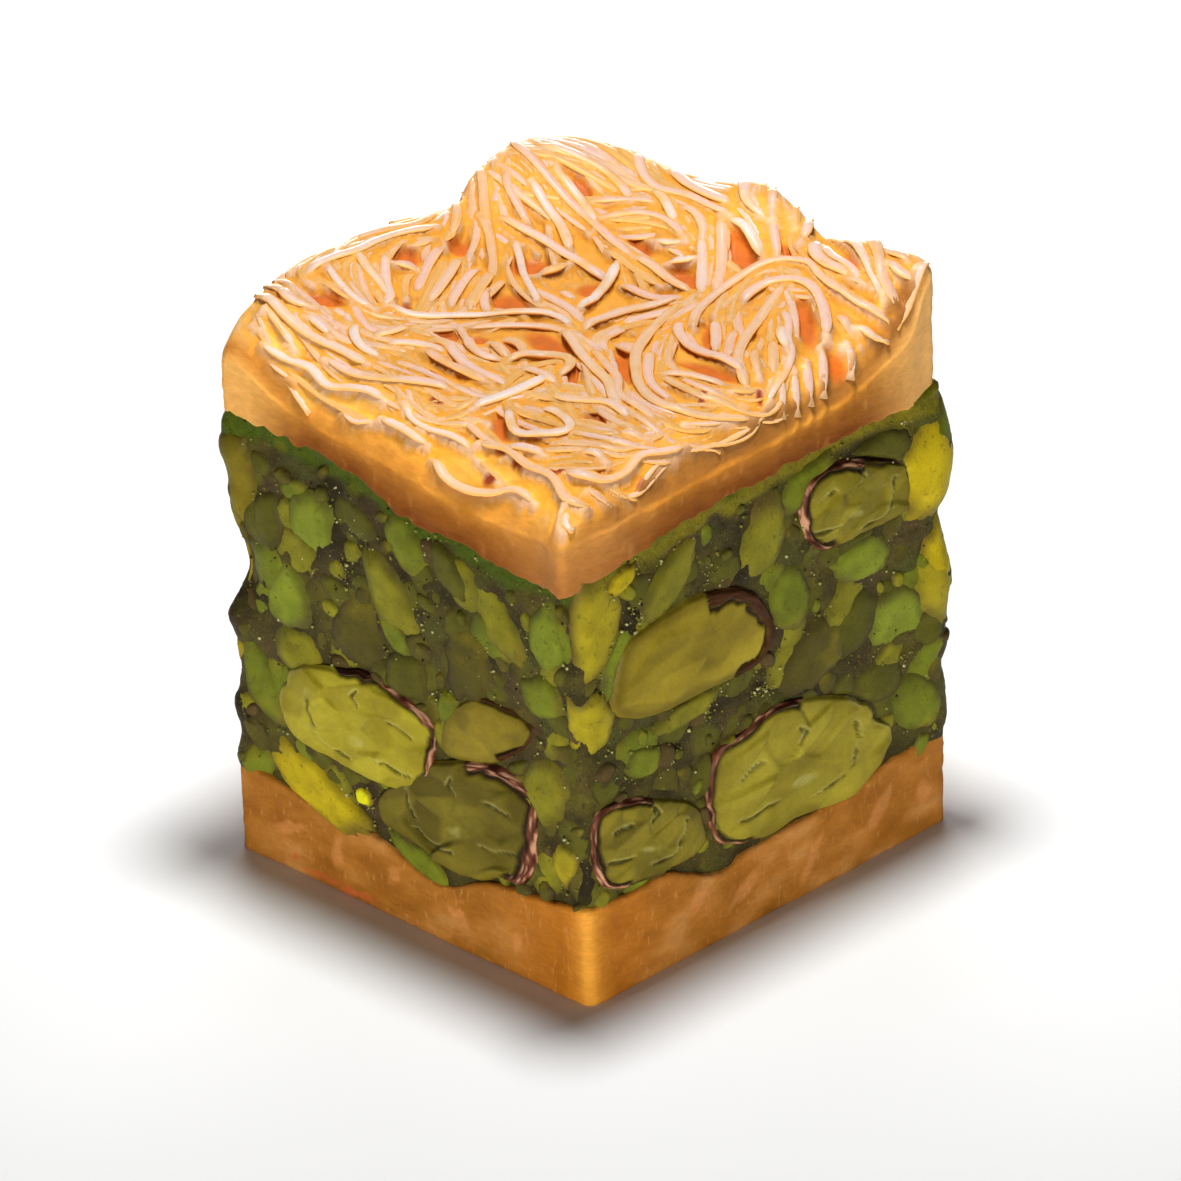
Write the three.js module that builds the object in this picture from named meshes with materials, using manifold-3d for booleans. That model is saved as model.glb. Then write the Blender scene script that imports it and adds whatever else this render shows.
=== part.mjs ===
// A tall square of baklava: a dense base of shredded pastry, a thick filling of chopped
// pistachio with whole cut kernels at its sides, and a lid of tangled kadayif threads.
// Millimetres, +Z up, origin on the table at the middle of the footprint.

import * as THREE from 'three';
import { mergeVertices } from 'three/addons/utils/BufferGeometryUtils.js';
import Module from 'manifold-3d';

const wasm = await Module();
wasm.setup();
const { Manifold, Mesh: ManifoldMesh } = wasm;

// ---- Driving dimensions ---------------------------------------------------------------

const SIDE = 35.5; // width of the square, cut face to cut face
const HALF = SIDE / 2;
const CORNER_RADIUS = 1.2; // rounding of the four upright edges
const GAP = 0.3; // clearance between neighbouring pieces

const BASE_TOP = 6.1; // mean top of the bottom pastry
const LID_FLOOR = 35.9; // mean underside of the thread lid
const LID_CROWN = 42.1; // mean top of the thread lid
const BLOCK_HEIGHT = 42; // height at which the corners reach their full lean

const BASE_RELIEF = 0.15; // depth of the crags in each cut side
const PASTE_RELIEF = 0.35;
const LID_RELIEF = 0.2;
const PASTE_INSET = 0.5; // how far the paste lies behind the cut nuts
const GRID_COLUMNS = 10; // cells across each layer
const GRID_EASE = 0.78; // 0 spaces the grid evenly, 1 crowds it towards the edges

const THREAD_DIAMETER = 0.95;
const THREAD_SIDES = 5;
const THREAD_STEPS = 5;
const THREAD_GRID = 5; // threads along and across the lid
const THREAD_LENGTHS = [10, 22]; // shortest and longest thread
const THREAD_STRAY = 0.6; // most that a thread turns from the swirl, in radians
const THREAD_BEND = 0.09; // most that it curves, in radians for each millimetre
const THREAD_STRIDE = 1.5; // distance between the points that a thread is drawn through
const THREAD_LIFT = 0.22; // height of a thread's middle line above the lid's core
const THREAD_MARGIN = 0.7; // threads stay this far inside the cut faces
const THREAD_JITTER = 0.3; // share of a cell by which a thread's place is off

const KERNEL_BULGE = 0.45; // how far a cut kernel swells out of its side
const KERNEL_BOXINESS = 2.8; // 2 is an oval outline, more is closer to a rounded box
const KERNEL_SEGMENTS = 12;
const KERNEL_RINGS = 6;
const POCKET_CLEARANCE = 0.4; // room round a kernel, a little over the gap at its facets
const POCKET_REACH = 3; // how far a kernel's pocket is cut out through the side

const CHUNK_BULGE = 0.5; // how far a chopped nut swells out of its side
const CHUNK_DEPTH = 2.2;
const CHUNK_ROUGHNESS = 0.16; // share by which a nut's outline wanders
const CHUNK_MARGIN = 0.5; // chopped nuts end this far from the pastry layers
const ROOM_REACH = 0.65; // how far the room for chopped nuts reaches out past the sides
const CHUNK_COLUMNS = 4;
const CHUNK_ROWS = 5;
const CHUNK_STAGGER = 0.25; // every other row is set this share of a cell to each side
const CHUNK_JITTER = 0.2; // share of a cell by which a chopped nut's place is off
const CHUNK_EDGE = 1.5; // first and last rows start this far inside the filling
const CHUNK_KERNEL_GAP = 0.8; // chopped nuts' middles stay this far from a kernel
const CHUNK_LENGTHS = [4.8, 7.6];
const CHUNK_SLIMNESS = [0.6, 0.85]; // width of a chunk as a share of its length

// The four corners lean a little, so the block is not a true prism. Each offset is
// [x, y] from the corner of the square, at the foot and at the head.
const LEAN = {
  west: { foot: [-0.1, -0.55], head: [-0.6, -0.35] },
  south: { foot: [-0.8, -0.4], head: [-0.35, -0.75] },
  east: { foot: [0.15, 0.1], head: [0.7, 0.9] },
  north: { foot: [-0.2, -0.2], head: [-0.4, -0.4] },
};

// Swells and hollows of the three uneven surfaces: centre, radius and rise.
const BASE_SWELLS = [
  { x: -17.7, y: -17.7, radius: 6, rise: 1.0 },
  { x: 2.5, y: -17.7, radius: 4, rise: -1.7 },
  { x: 8.5, y: -17.7, radius: 4, rise: 0.6 },
  { x: 17.7, y: -17.7, radius: 6, rise: 1.8 },
  { x: 17.7, y: -10.0, radius: 3.5, rise: 1.2 },
  { x: 17.7, y: -4.9, radius: 2.5, rise: -0.9 },
  { x: 17.7, y: 15.0, radius: 6, rise: 1.4 },
  { x: -8.0, y: 17.7, radius: 6, rise: 0.9 },
  { x: -17.7, y: 3.0, radius: 5, rise: -0.8 },
];
const LID_FLOOR_SWELLS = [
  { x: 12.0, y: -17.7, radius: 9, rise: -2.4 },
  { x: 1.0, y: -17.7, radius: 4, rise: -1.5 },
  { x: 17.7, y: 15.5, radius: 3, rise: -0.5 },
  { x: 6.0, y: 17.7, radius: 6, rise: -0.9 },
  { x: -17.7, y: 6.0, radius: 5, rise: 0.7 },
];
const LID_CROWN_SWELLS = [
  { x: 8.0, y: -17.7, radius: 8, rise: -1.0 },
  { x: 17.7, y: 17.7, radius: 7, rise: 2.9 },
  { x: 17.7, y: 17.7, radius: 2.5, rise: 3.9 },
  { x: -17.7, y: -17.7, radius: 4.5, rise: 2.4 },
  { x: -17.0, y: -8.0, radius: 7, rise: 2.7 },
  { x: -17.7, y: 0.0, radius: 5, rise: 1.4 },
  { x: -17.7, y: 5.3, radius: 1.5, rise: -1.3 },
  { x: -15.0, y: 11.0, radius: 5.5, rise: 3.8 },
  { x: -11.5, y: 17.0, radius: 4, rise: 1.3 },
  { x: -3.0, y: 17.7, radius: 8, rise: 2.9 },
  { x: 3.0, y: 17.7, radius: 4, rise: 2.9 },
  { x: 11.5, y: 17.0, radius: 4, rise: 2.0 },
  { x: 3.0, y: 4.0, radius: 5, rise: -0.9 },
];
// How the lid rounds over towards each cut face: drop at the edge and width of the round.
const LID_ROUNDS = {
  front: { drop: 3.9, width: 5.5 },
  right: { drop: 3.6, width: 4.5 },
  back: { drop: 0.7, width: 2.0 },
  left: { drop: 1.0, width: 2.5 },
};
const ROUND_BLEND = 6; // the higher, the less two rounds add up at the corner they share

// Whole kernels that the cuts went through. A side is counted by quarter turns from the
// front; along runs to the right of somebody facing that side, tilt is in degrees.
const KERNELS = [
  { side: 0, along: -5.2, height: 14.8, length: 15.0, width: 8.4, tilt: 7, depth: 4.2 },
  { side: 0, along: 9.0, height: 19.3, length: 8.6, width: 4.9, tilt: 22, depth: 3.4 },
  { side: 0, along: 5.9, height: 11.0, length: 15.6, width: 8.2, tilt: 18, depth: 4.0 },
  { side: 1, along: 8.9, height: 30.4, length: 11.0, width: 6.4, tilt: -17, depth: 3.8 },
  { side: 1, along: -7.0, height: 24.7, length: 15.4, width: 8.0, tilt: -5, depth: 4.2 },
  { side: 1, along: 3.2, height: 11.4, length: 17.2, width: 8.8, tilt: -8, depth: 4.4 },
  { side: 1, along: -11.4, height: 12.0, length: 10.6, width: 6.0, tilt: -24, depth: 3.4 },
  { side: 2, along: -6.5, height: 13.2, length: 16.0, width: 8.8, tilt: -12, depth: 4.2 },
  { side: 2, along: 7.5, height: 26.0, length: 14.6, width: 8.0, tilt: 26, depth: 4.0 },
  { side: 3, along: 6.0, height: 13.6, length: 15.8, width: 8.6, tilt: 14, depth: 4.2 },
  { side: 3, along: -7.0, height: 27.2, length: 13.4, width: 7.4, tilt: -20, depth: 3.8 },
];

// ---- Surfaces of the block ------------------------------------------------------------

function raised(level, swells, x, y) {
  return swells.reduce((height, swell) => {
    const distance = Math.hypot(x - swell.x, y - swell.y) / swell.radius;
    return height + swell.rise * Math.exp(-distance * distance);
  }, level);
}

function roundOver({ drop, width }, distance) {
  const closeness = Math.max(0, 1 - distance / width);
  return drop * closeness * closeness;
}

const baseTop = (x, y) => raised(BASE_TOP, BASE_SWELLS, x, y);
const lidFloor = (x, y) => raised(LID_FLOOR, LID_FLOOR_SWELLS, x, y);

function lidTop(x, y) {
  const front = roundOver(LID_ROUNDS.front, HALF + y);
  const right = roundOver(LID_ROUNDS.right, HALF - x);
  const together = (front ** ROUND_BLEND + right ** ROUND_BLEND) ** (1 / ROUND_BLEND);
  return raised(LID_CROWN, LID_CROWN_SWELLS, x, y)
    - together
    - roundOver(LID_ROUNDS.back, HALF - y)
    - roundOver(LID_ROUNDS.left, HALF + x);
}

// Low waves, between -1 and 1, that roughen a cut side.
function crags(x, y, z) {
  const broad = Math.sin(0.9 * x + 1.3 * y + 0.4) * Math.cos(0.8 * z - 0.5 * x + 2.1);
  const fine = Math.sin(1.9 * z + 2.3 * x - 1.2) * Math.cos(2.1 * y + 1.1 * z + 0.7);
  return (2 * broad + fine) / 3;
}

// Moves a point of the true prism to where the leaning block has it.
function lean(point) {
  const right = (point.x + HALF) / SIDE;
  const back = (point.y + HALF) / SIDE;
  const up = point.z / BLOCK_HEIGHT;
  const shares = {
    west: (1 - right) * (1 - back),
    south: right * (1 - back),
    east: right * back,
    north: (1 - right) * back,
  };
  for (const [corner, share] of Object.entries(shares)) {
    const { foot, head } = LEAN[corner];
    point.x += share * THREE.MathUtils.lerp(foot[0], head[0], up);
    point.y += share * THREE.MathUtils.lerp(foot[1], head[1], up);
  }
}

function roundCorner(point, half) {
  const inner = half - CORNER_RADIUS;
  const overX = Math.abs(point.x) - inner;
  const overY = Math.abs(point.y) - inner;
  if (overX <= 0 || overY <= 0) return;
  const over = Math.hypot(overX, overY);
  if (over <= CORNER_RADIUS) return;
  point.x = Math.sign(point.x) * (inner + overX * CORNER_RADIUS / over);
  point.y = Math.sign(point.y) * (inner + overY * CORNER_RADIUS / over);
}

// ---- Helpers for geometry and solids --------------------------------------------------

function seededRandom(seed) {
  let state = seed;
  return (low, high) => {
    state = (state * 1664525 + 1013904223) % 4294967296;
    return low + (high - low) * state / 4294967296;
  };
}

function onlyPositions(geometry) {
  for (const name of Object.keys(geometry.attributes)) {
    if (name !== 'position') geometry.deleteAttribute(name);
  }
  return mergeVertices(geometry, 1e-4);
}

function moveVertices(geometry, move) {
  const position = geometry.getAttribute('position');
  const point = new THREE.Vector3();
  for (let i = 0; i < position.count; i += 1) {
    point.fromBufferAttribute(position, i);
    move(point);
    position.setXYZ(i, point.x, point.y, point.z);
  }
  return geometry;
}

function toSolid(geometry) {
  const merged = onlyPositions(geometry);
  return new Manifold(new ManifoldMesh({
    numProp: 3,
    vertProperties: new Float32Array(merged.getAttribute('position').array),
    triVerts: new Uint32Array(merged.index.array),
  }));
}

// The largest body of a solid, without loose scraps and sealed hollows.
function mainBody(solid) {
  const bodies = solid.decompose();
  return bodies.reduce((best, body) => (body.volume() > best.volume() ? body : best));
}

function toGeometry(solid) {
  const mesh = solid.getMesh();
  const geometry = new THREE.BufferGeometry();
  const positions = new Float32Array(mesh.vertProperties);
  geometry.setAttribute('position', new THREE.BufferAttribute(positions, 3));
  geometry.setIndex(new THREE.BufferAttribute(new Uint32Array(mesh.triVerts), 1));
  return geometry;
}

// ---- Layers ---------------------------------------------------------------------------

// A slab between two uneven surfaces, with rounded upright edges and craggy cut sides.
function slab({ floor, top, inset, relief, rows }) {
  const half = HALF - inset;
  const reach = Math.sin(GRID_EASE * Math.PI / 2);
  const ease = (share) => Math.sin(share * GRID_EASE * Math.PI / 2) / reach;
  const geometry = onlyPositions(new THREE.BoxGeometry(2, 2, 1, GRID_COLUMNS, GRID_COLUMNS, rows));
  return moveVertices(geometry, (point) => {
    const upright = Math.max(Math.abs(point.x), Math.abs(point.y)) > 0.999;
    const up = point.z + 0.5;
    point.x = ease(point.x) * half;
    point.y = ease(point.y) * half;
    roundCorner(point, half);
    point.z = THREE.MathUtils.lerp(floor(point.x, point.y), top(point.x, point.y), up);
    if (upright && up > 0) {
      const swell = 1 + relief * crags(point.x, point.y, point.z) / half;
      point.x *= swell;
      point.y *= swell;
    }
  });
}

function bottomPastry() {
  return slab({
    floor: () => 0,
    top: (x, y) => baseTop(x, y) - GAP / 2,
    inset: 0,
    relief: BASE_RELIEF,
    rows: 3,
  });
}

// ---- Nuts -----------------------------------------------------------------------------

// Puts a nut, modelled with its cut face towards -Y, on one side of the block.
function onSide(geometry, { side, along, height, tilt }) {
  geometry.rotateY(-THREE.MathUtils.degToRad(tilt));
  geometry.translate(along, -HALF, height);
  geometry.rotateZ(side * Math.PI / 2);
  return geometry;
}

// A cut kernel: a boxy oval outline, a slightly swollen cut face and a round back. The
// outline can grow all round, and the swell be drawn out, to make the cutter of its pocket.
function kernelGeometry(kernel, grow = 0, bulge = KERNEL_BULGE) {
  const geometry = onlyPositions(new THREE.SphereGeometry(1, KERNEL_SEGMENTS, KERNEL_RINGS));
  moveVertices(geometry, (point) => {
    const outline = Math.hypot(point.x, point.z);
    const corner = (Math.abs(point.x) ** KERNEL_BOXINESS + Math.abs(point.z) ** KERNEL_BOXINESS)
      ** (1 / KERNEL_BOXINESS);
    const boxy = corner > 0 ? outline / corner : 1;
    point.x *= boxy * (kernel.length / 2 + grow);
    point.y *= point.y > 0 ? kernel.depth + grow : bulge;
    point.z *= boxy * (kernel.width / 2 + grow);
  });
  return onSide(geometry, kernel);
}

// A chopped nut: a lumpy ball, flattened where the knife went through it.
function chunkGeometry(chunk, random) {
  const geometry = onlyPositions(new THREE.DodecahedronGeometry(1, 0));
  moveVertices(geometry, (point) => {
    point.multiplyScalar(1 + random(-CHUNK_ROUGHNESS, CHUNK_ROUGHNESS));
    point.x *= chunk.length / 2;
    point.y *= point.y > 0 ? CHUNK_DEPTH : CHUNK_BULGE;
    point.z *= chunk.width / 2;
  });
  return onSide(geometry, chunk);
}

// True where a chopped nut's middle lies outside a kernel's outline.
function isClear(chunk, kernel) {
  const tilt = THREE.MathUtils.degToRad(kernel.tilt);
  const along = chunk.along - kernel.along;
  const upward = chunk.height - kernel.height;
  const across = along * Math.cos(tilt) + upward * Math.sin(tilt);
  const over = upward * Math.cos(tilt) - along * Math.sin(tilt);
  const halfLength = kernel.length / 2 + CHUNK_KERNEL_GAP;
  const halfWidth = kernel.width / 2 + CHUNK_KERNEL_GAP;
  return Math.hypot(across / halfLength, over / halfWidth) > 1;
}

// Chopped nuts on one side: a grid of places, each a little off, clear of the kernels.
function chunksOnSide(side, random) {
  const chunks = [];
  const jitter = () => random(-CHUNK_JITTER, CHUNK_JITTER);
  const bottom = BASE_TOP + CHUNK_EDGE;
  const top = LID_FLOOR - CHUNK_EDGE;
  const kernels = KERNELS.filter((kernel) => kernel.side === side);
  for (let row = 0; row < CHUNK_ROWS; row += 1) {
    for (let column = 0; column < CHUNK_COLUMNS; column += 1) {
      const length = random(...CHUNK_LENGTHS);
      const stagger = row % 2 ? CHUNK_STAGGER : -CHUNK_STAGGER;
      const chunk = {
        side,
        along: ((column + 0.5 + stagger + jitter()) / CHUNK_COLUMNS - 0.5) * SIDE,
        height: THREE.MathUtils.lerp(bottom, top, (row + 0.5 + jitter()) / CHUNK_ROWS),
        length,
        width: length * random(...CHUNK_SLIMNESS),
        tilt: random(0, 180),
      };
      if (kernels.every((kernel) => isClear(chunk, kernel))) chunks.push(chunk);
    }
  }
  return chunks;
}

// ---- Filling --------------------------------------------------------------------------

// The paste with its chopped nuts, kept between the two pastry layers, with an open
// pocket for each whole kernel.
function filling() {
  const random = seededRandom(7);
  const floor = (x, y) => baseTop(x, y) + GAP / 2;
  const top = (x, y) => lidFloor(x, y) - GAP / 2;
  const core = slab({
    floor, top, inset: PASTE_INSET, relief: PASTE_RELIEF, rows: 5,
  });
  const room = slab({
    floor: (x, y) => floor(x, y) + CHUNK_MARGIN,
    top: (x, y) => top(x, y) - CHUNK_MARGIN,
    inset: -ROOM_REACH,
    relief: 0,
    rows: 1,
  });
  const nuts = [0, 1, 2, 3].flatMap((side) => chunksOnSide(side, random))
    .map((chunk) => toSolid(chunkGeometry(chunk, random)));
  const pockets = KERNELS
    .map((kernel) => toSolid(kernelGeometry(kernel, POCKET_CLEARANCE, POCKET_REACH)));
  const chopped = Manifold.union(nuts).intersect(toSolid(room));
  return toGeometry(mainBody(toSolid(core).add(chopped).subtract(Manifold.union(pockets))));
}

// Kernels that cross are cut back behind the ones listed before them.
function kernelSolid(index) {
  const solid = toSolid(kernelGeometry(KERNELS[index]));
  const before = KERNELS.slice(0, index)
    .filter((kernel) => kernel.side === KERNELS[index].side)
    .map((kernel) => toSolid(kernelGeometry(kernel, GAP, POCKET_REACH)));
  if (before.length === 0) return solid;
  return mainBody(solid.subtract(Manifold.union(before)));
}

// ---- Thread lid -----------------------------------------------------------------------

// The way the threads lie at a place, as an angle in radians.
function swirl(x, y) {
  return 0.5 + 1.3 * Math.sin(0.13 * x + 0.9) + 1.2 * Math.cos(0.16 * y - 0.07 * x);
}

// The middle line of one thread: an arc through the given place, laid along the swirl and
// over the uneven top. It ends where it would leave the lid.
function threadCurve(middle, random) {
  const bound = HALF - THREAD_MARGIN;
  const steps = Math.round(random(...THREAD_LENGTHS) / THREAD_STRIDE);
  const heading = swirl(middle.x, middle.y) + random(-THREAD_STRAY, THREAD_STRAY);
  const bend = random(-THREAD_BEND, THREAD_BEND);
  const walk = (direction) => {
    const points = [];
    let { x, y } = middle;
    for (let step = 0; step < steps / 2; step += 1) {
      const angle = heading + direction * bend * step * THREAD_STRIDE;
      x += direction * THREAD_STRIDE * Math.cos(angle);
      y += direction * THREAD_STRIDE * Math.sin(angle);
      if (Math.abs(x) > bound || Math.abs(y) > bound) break;
      points.push(new THREE.Vector3(x, y, lidTop(x, y) + THREAD_LIFT));
    }
    return points;
  };
  const centre = new THREE.Vector3(middle.x, middle.y, lidTop(middle.x, middle.y) + THREAD_LIFT);
  return new THREE.CatmullRomCurve3([...walk(-1).reverse(), centre, ...walk(1)]);
}

// Places for the threads: a grid over the lid, each place a little off.
function threadMiddles(random) {
  const cell = (SIDE - 2 * THREAD_MARGIN) / THREAD_GRID;
  const place = (index) => {
    const jitter = random(-THREAD_JITTER, THREAD_JITTER);
    return (index + 0.5 + jitter - THREAD_GRID / 2) * cell;
  };
  const middles = [];
  for (let row = 0; row < THREAD_GRID; row += 1) {
    for (let column = 0; column < THREAD_GRID; column += 1) {
      middles.push({ x: place(column), y: place(row) });
    }
  }
  return middles;
}

function threadSection() {
  const corners = [];
  for (let corner = 0; corner < THREAD_SIDES; corner += 1) {
    const angle = (corner / THREAD_SIDES) * Math.PI * 2;
    corners.push(new THREE.Vector2(Math.cos(angle), Math.sin(angle))
      .multiplyScalar(THREAD_DIAMETER / 2));
  }
  return new THREE.Shape(corners);
}

function threadGeometry(curve) {
  return new THREE.ExtrudeGeometry(threadSection(), { steps: THREAD_STEPS, extrudePath: curve });
}

function lid() {
  const random = seededRandom(21);
  const core = slab({
    floor: (x, y) => lidFloor(x, y) + GAP / 2,
    top: lidTop,
    inset: 0,
    relief: LID_RELIEF,
    rows: 2,
  });
  const threads = threadMiddles(random)
    .map((middle) => toSolid(threadGeometry(threadCurve(middle, random))));
  return toGeometry(mainBody(Manifold.union([toSolid(core), ...threads])));
}

// ---- The whole piece ------------------------------------------------------------------

const baked = new THREE.MeshStandardMaterial({ color: 0xb67a38, roughness: 0.7, metalness: 0 });
const glazed = new THREE.MeshStandardMaterial({ color: 0xeab075, roughness: 0.35, metalness: 0 });
const paste = new THREE.MeshStandardMaterial({ color: 0x6c7a2c, roughness: 0.6, metalness: 0 });
const nut = new THREE.MeshStandardMaterial({ color: 0x9f9135, roughness: 0.5, metalness: 0 });

function piece(name, geometry, material) {
  moveVertices(geometry, lean);
  geometry.computeVertexNormals();
  const mesh = new THREE.Mesh(geometry, material);
  mesh.name = name;
  return mesh;
}

const baklava = new THREE.Group();
baklava.add(piece('bottom_pastry', bottomPastry(), baked));
baklava.add(piece('pistachio_filling', filling(), paste));
baklava.add(piece('top_pastry', lid(), glazed));
KERNELS.forEach((kernel, index) => {
  baklava.add(piece(`pistachio_kernel_${index + 1}`, toGeometry(kernelSolid(index)), nut));
});

export default baklava;
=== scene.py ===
"""The looks of a tall square of pistachio baklava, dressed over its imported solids.

Shapes are worked out in millimetres, +Z up, with the origin on the table at the middle of
the footprint, and become metres when a mesh is made. Colours are sRGB, from 0 to 255.
"""

import math
from collections import namedtuple

import bpy
import numpy as np
from mathutils import Matrix, Vector


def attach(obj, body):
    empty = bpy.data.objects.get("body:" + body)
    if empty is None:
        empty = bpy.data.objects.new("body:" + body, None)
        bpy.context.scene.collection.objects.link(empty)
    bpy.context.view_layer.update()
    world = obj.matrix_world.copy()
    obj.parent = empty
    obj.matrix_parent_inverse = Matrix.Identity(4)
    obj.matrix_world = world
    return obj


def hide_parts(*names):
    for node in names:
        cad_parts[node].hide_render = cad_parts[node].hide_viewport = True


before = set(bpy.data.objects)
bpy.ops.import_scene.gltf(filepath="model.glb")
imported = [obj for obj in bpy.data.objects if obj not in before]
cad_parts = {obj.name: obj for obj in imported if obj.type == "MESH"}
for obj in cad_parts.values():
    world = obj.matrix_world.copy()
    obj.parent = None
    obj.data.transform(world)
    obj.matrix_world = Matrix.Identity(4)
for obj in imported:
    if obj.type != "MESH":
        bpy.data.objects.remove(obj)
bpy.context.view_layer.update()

MM = 0.001

# ---- Block ----------------------------------------------------------------------------

SIDE = 35.5
HALF = SIDE / 2
CORNER_RADIUS = 0.7
CORNER_BEND = 1.6  # radius by which chopped nuts bend round a corner
BASE_TOP = 6.1
LID_FLOOR = 35.9
LID_CROWN = 42.1
BLOCK_HEIGHT = 42.0

# How far each corner leans off the square, at the foot and at the head.
LEAN = {
    "west": ((-0.1, -0.55), (-0.6, -0.35)),
    "south": ((-0.8, -0.4), (-0.35, -0.75)),
    "east": ((0.15, 0.1), (0.7, 0.9)),
    "north": ((-0.2, -0.2), (-0.4, -0.4)),
}

Swell = namedtuple("Swell", "x y radius rise")
BASE_SWELLS = (
    Swell(-17.7, -17.7, 6, 1.0),
    Swell(2.5, -17.7, 4, -1.7),
    Swell(8.5, -17.7, 4, 0.6),
    Swell(17.7, -17.7, 6, 1.8),
    Swell(17.7, -10.0, 3.5, 1.2),
    Swell(17.7, -4.9, 2.5, -0.9),
    Swell(17.7, 15.0, 6, 1.4),
    Swell(-8.0, 17.7, 6, 0.9),
    Swell(-17.7, 3.0, 5, -0.8),
)
LID_FLOOR_SWELLS = (
    Swell(12.0, -17.7, 9, -2.4),
    Swell(1.0, -17.7, 4, -1.5),
    Swell(17.7, 15.5, 3, -0.5),
    Swell(6.0, 17.7, 6, -0.9),
    Swell(-17.7, 6.0, 5, 0.7),
)
LID_CROWN_SWELLS = (
    Swell(8.0, -17.7, 8, -1.0),
    Swell(17.7, 17.7, 7, 2.9),
    Swell(17.7, 17.7, 2.5, 3.9),
    Swell(-17.7, -17.7, 4.5, 2.4),
    Swell(-17.0, -8.0, 7, 2.7),
    Swell(-17.7, 0.0, 5, 1.4),
    Swell(-17.7, 5.3, 1.5, -1.3),
    Swell(-15.0, 11.0, 5.5, 3.8),
    Swell(-11.5, 17.0, 4, 1.3),
    Swell(-3.0, 17.7, 8, 2.9),
    Swell(3.0, 17.7, 4, 2.9),
    Swell(11.5, 17.0, 4, 2.0),
    Swell(3.0, 4.0, 5, -0.9),
)
# Drop of the lid at each cut face, and the width over which it rounds down to it.
LID_FRONT_ROUND = (3.9, 5.5)
LID_RIGHT_ROUND = (3.6, 4.5)
LID_BACK_ROUND = (0.7, 2.0)
LID_LEFT_ROUND = (1.0, 2.5)
ROUND_BLEND = 6  # the higher, the less two rounds add up at the corner they share
# Corners of the lid that are drawn in or sag: signs of x and y, then the move at the corner.
TIPS = (
    (1, -1, (-0.6, -0.6, -0.45)),
    (1, 1, (-0.5, -0.5, 0.0)),
)
TIP_WIDTH = 4.0

PASTE_INSET = 0.35
OVERLAP = 0.25  # layers reach this far into each other, so that no slit shows

# ---- Numbers that repeat and noise ----------------------------------------------------


def lattice(x, y, z, seed):
    """A repeatable number from 0 to 1 for each point of a whole-number grid."""
    mixed = (
        x.astype(np.uint32) * np.uint32(374761393)
        + y.astype(np.uint32) * np.uint32(668265263)
        + z.astype(np.uint32) * np.uint32(2246822519)
        + np.uint32(seed * 40503 + 12345)
    )
    mixed = (mixed ^ (mixed >> np.uint32(13))) * np.uint32(1274126177)
    mixed = (mixed ^ (mixed >> np.uint32(16))) * np.uint32(2654435761)
    return (mixed ^ (mixed >> np.uint32(15))) / 4294967295.0


def noise(points, size, seed=0):
    """Smooth noise from -1 to 1 over points (..., 3); size is in mm, one or one an axis."""
    scaled = points / np.asarray(size, float)
    cell = np.floor(scaled).astype(np.int64)
    share = scaled - cell
    share = share * share * (3 - 2 * share)
    total = 0.0
    for corner in np.ndindex(2, 2, 2):
        weight = 1.0
        for axis in range(3):
            near = share[..., axis]
            weight = weight * (near if corner[axis] else 1 - near)
        total = total + weight * lattice(*(cell[..., a] + corner[a] for a in range(3)), seed)
    return 2 * total - 1


def fractal(points, size, octaves=3, seed=0):
    """Noise in several sizes, each half as large and half as strong as the one before."""
    total = sum(noise(points, np.asarray(size) / 2**k, seed + k) / 2**k for k in range(octaves))
    return total / (2 - 2 ** (1 - octaves))


def smooth(low, high, value):
    """0 below low, 1 above high, and an even ease between them."""
    share = np.clip((value - low) / (high - low), 0, 1)
    return share * share * (3 - 2 * share)


def mix(first, second, share):
    """Blend of two colours or arrays; share may be an array with one value a point."""
    share = np.asarray(share)[..., None]
    return np.asarray(first, float) * (1 - share) + np.asarray(second, float) * share


def linear(colour):
    """The light that a screen gives for an sRGB colour."""
    share = np.clip(np.asarray(colour, float), 0, 255) / 255
    return np.where(share <= 0.04045, share / 12.92, ((share + 0.055) / 1.055) ** 2.4)


def turned(x, y, degrees):
    """The place (x, y) turned anticlockwise about the origin."""
    angle = math.radians(degrees)
    cosine, sine = math.cos(angle), math.sin(angle)
    return x * cosine - y * sine, x * sine + y * cosine


def ramp(value, stops):
    """Colours along a list of (position, colour) stops."""
    places = [place for place, _ in stops]
    channels = [np.interp(value, places, [colour[c] for _, colour in stops]) for c in range(3)]
    return np.stack(channels, axis=-1)


# ---- Surfaces of the block ------------------------------------------------------------


def raised(level, swells, x, y):
    """A level surface with low swells and dips on it."""
    height = np.full(np.broadcast(x, y).shape, float(level))
    for swell in swells:
        distance = np.hypot(x - swell.x, y - swell.y) / swell.radius
        height = height + swell.rise * np.exp(-distance * distance)
    return height


def steepness(surface, x, y):
    reach = 0.05
    along_x = surface(x + reach, y) - surface(x - reach, y)
    along_y = surface(x, y + reach) - surface(x, y - reach)
    return np.hypot(along_x, along_y) / (2 * reach)


def round_over(drop, width, distance):
    """How far a surface has dropped at this distance from a rounded edge."""
    return drop * np.clip(1 - distance / width, 0, None) ** 2


def base_top(x, y):
    return raised(BASE_TOP, BASE_SWELLS, x, y)


def lid_floor(x, y):
    return raised(LID_FLOOR, LID_FLOOR_SWELLS, x, y)


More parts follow.
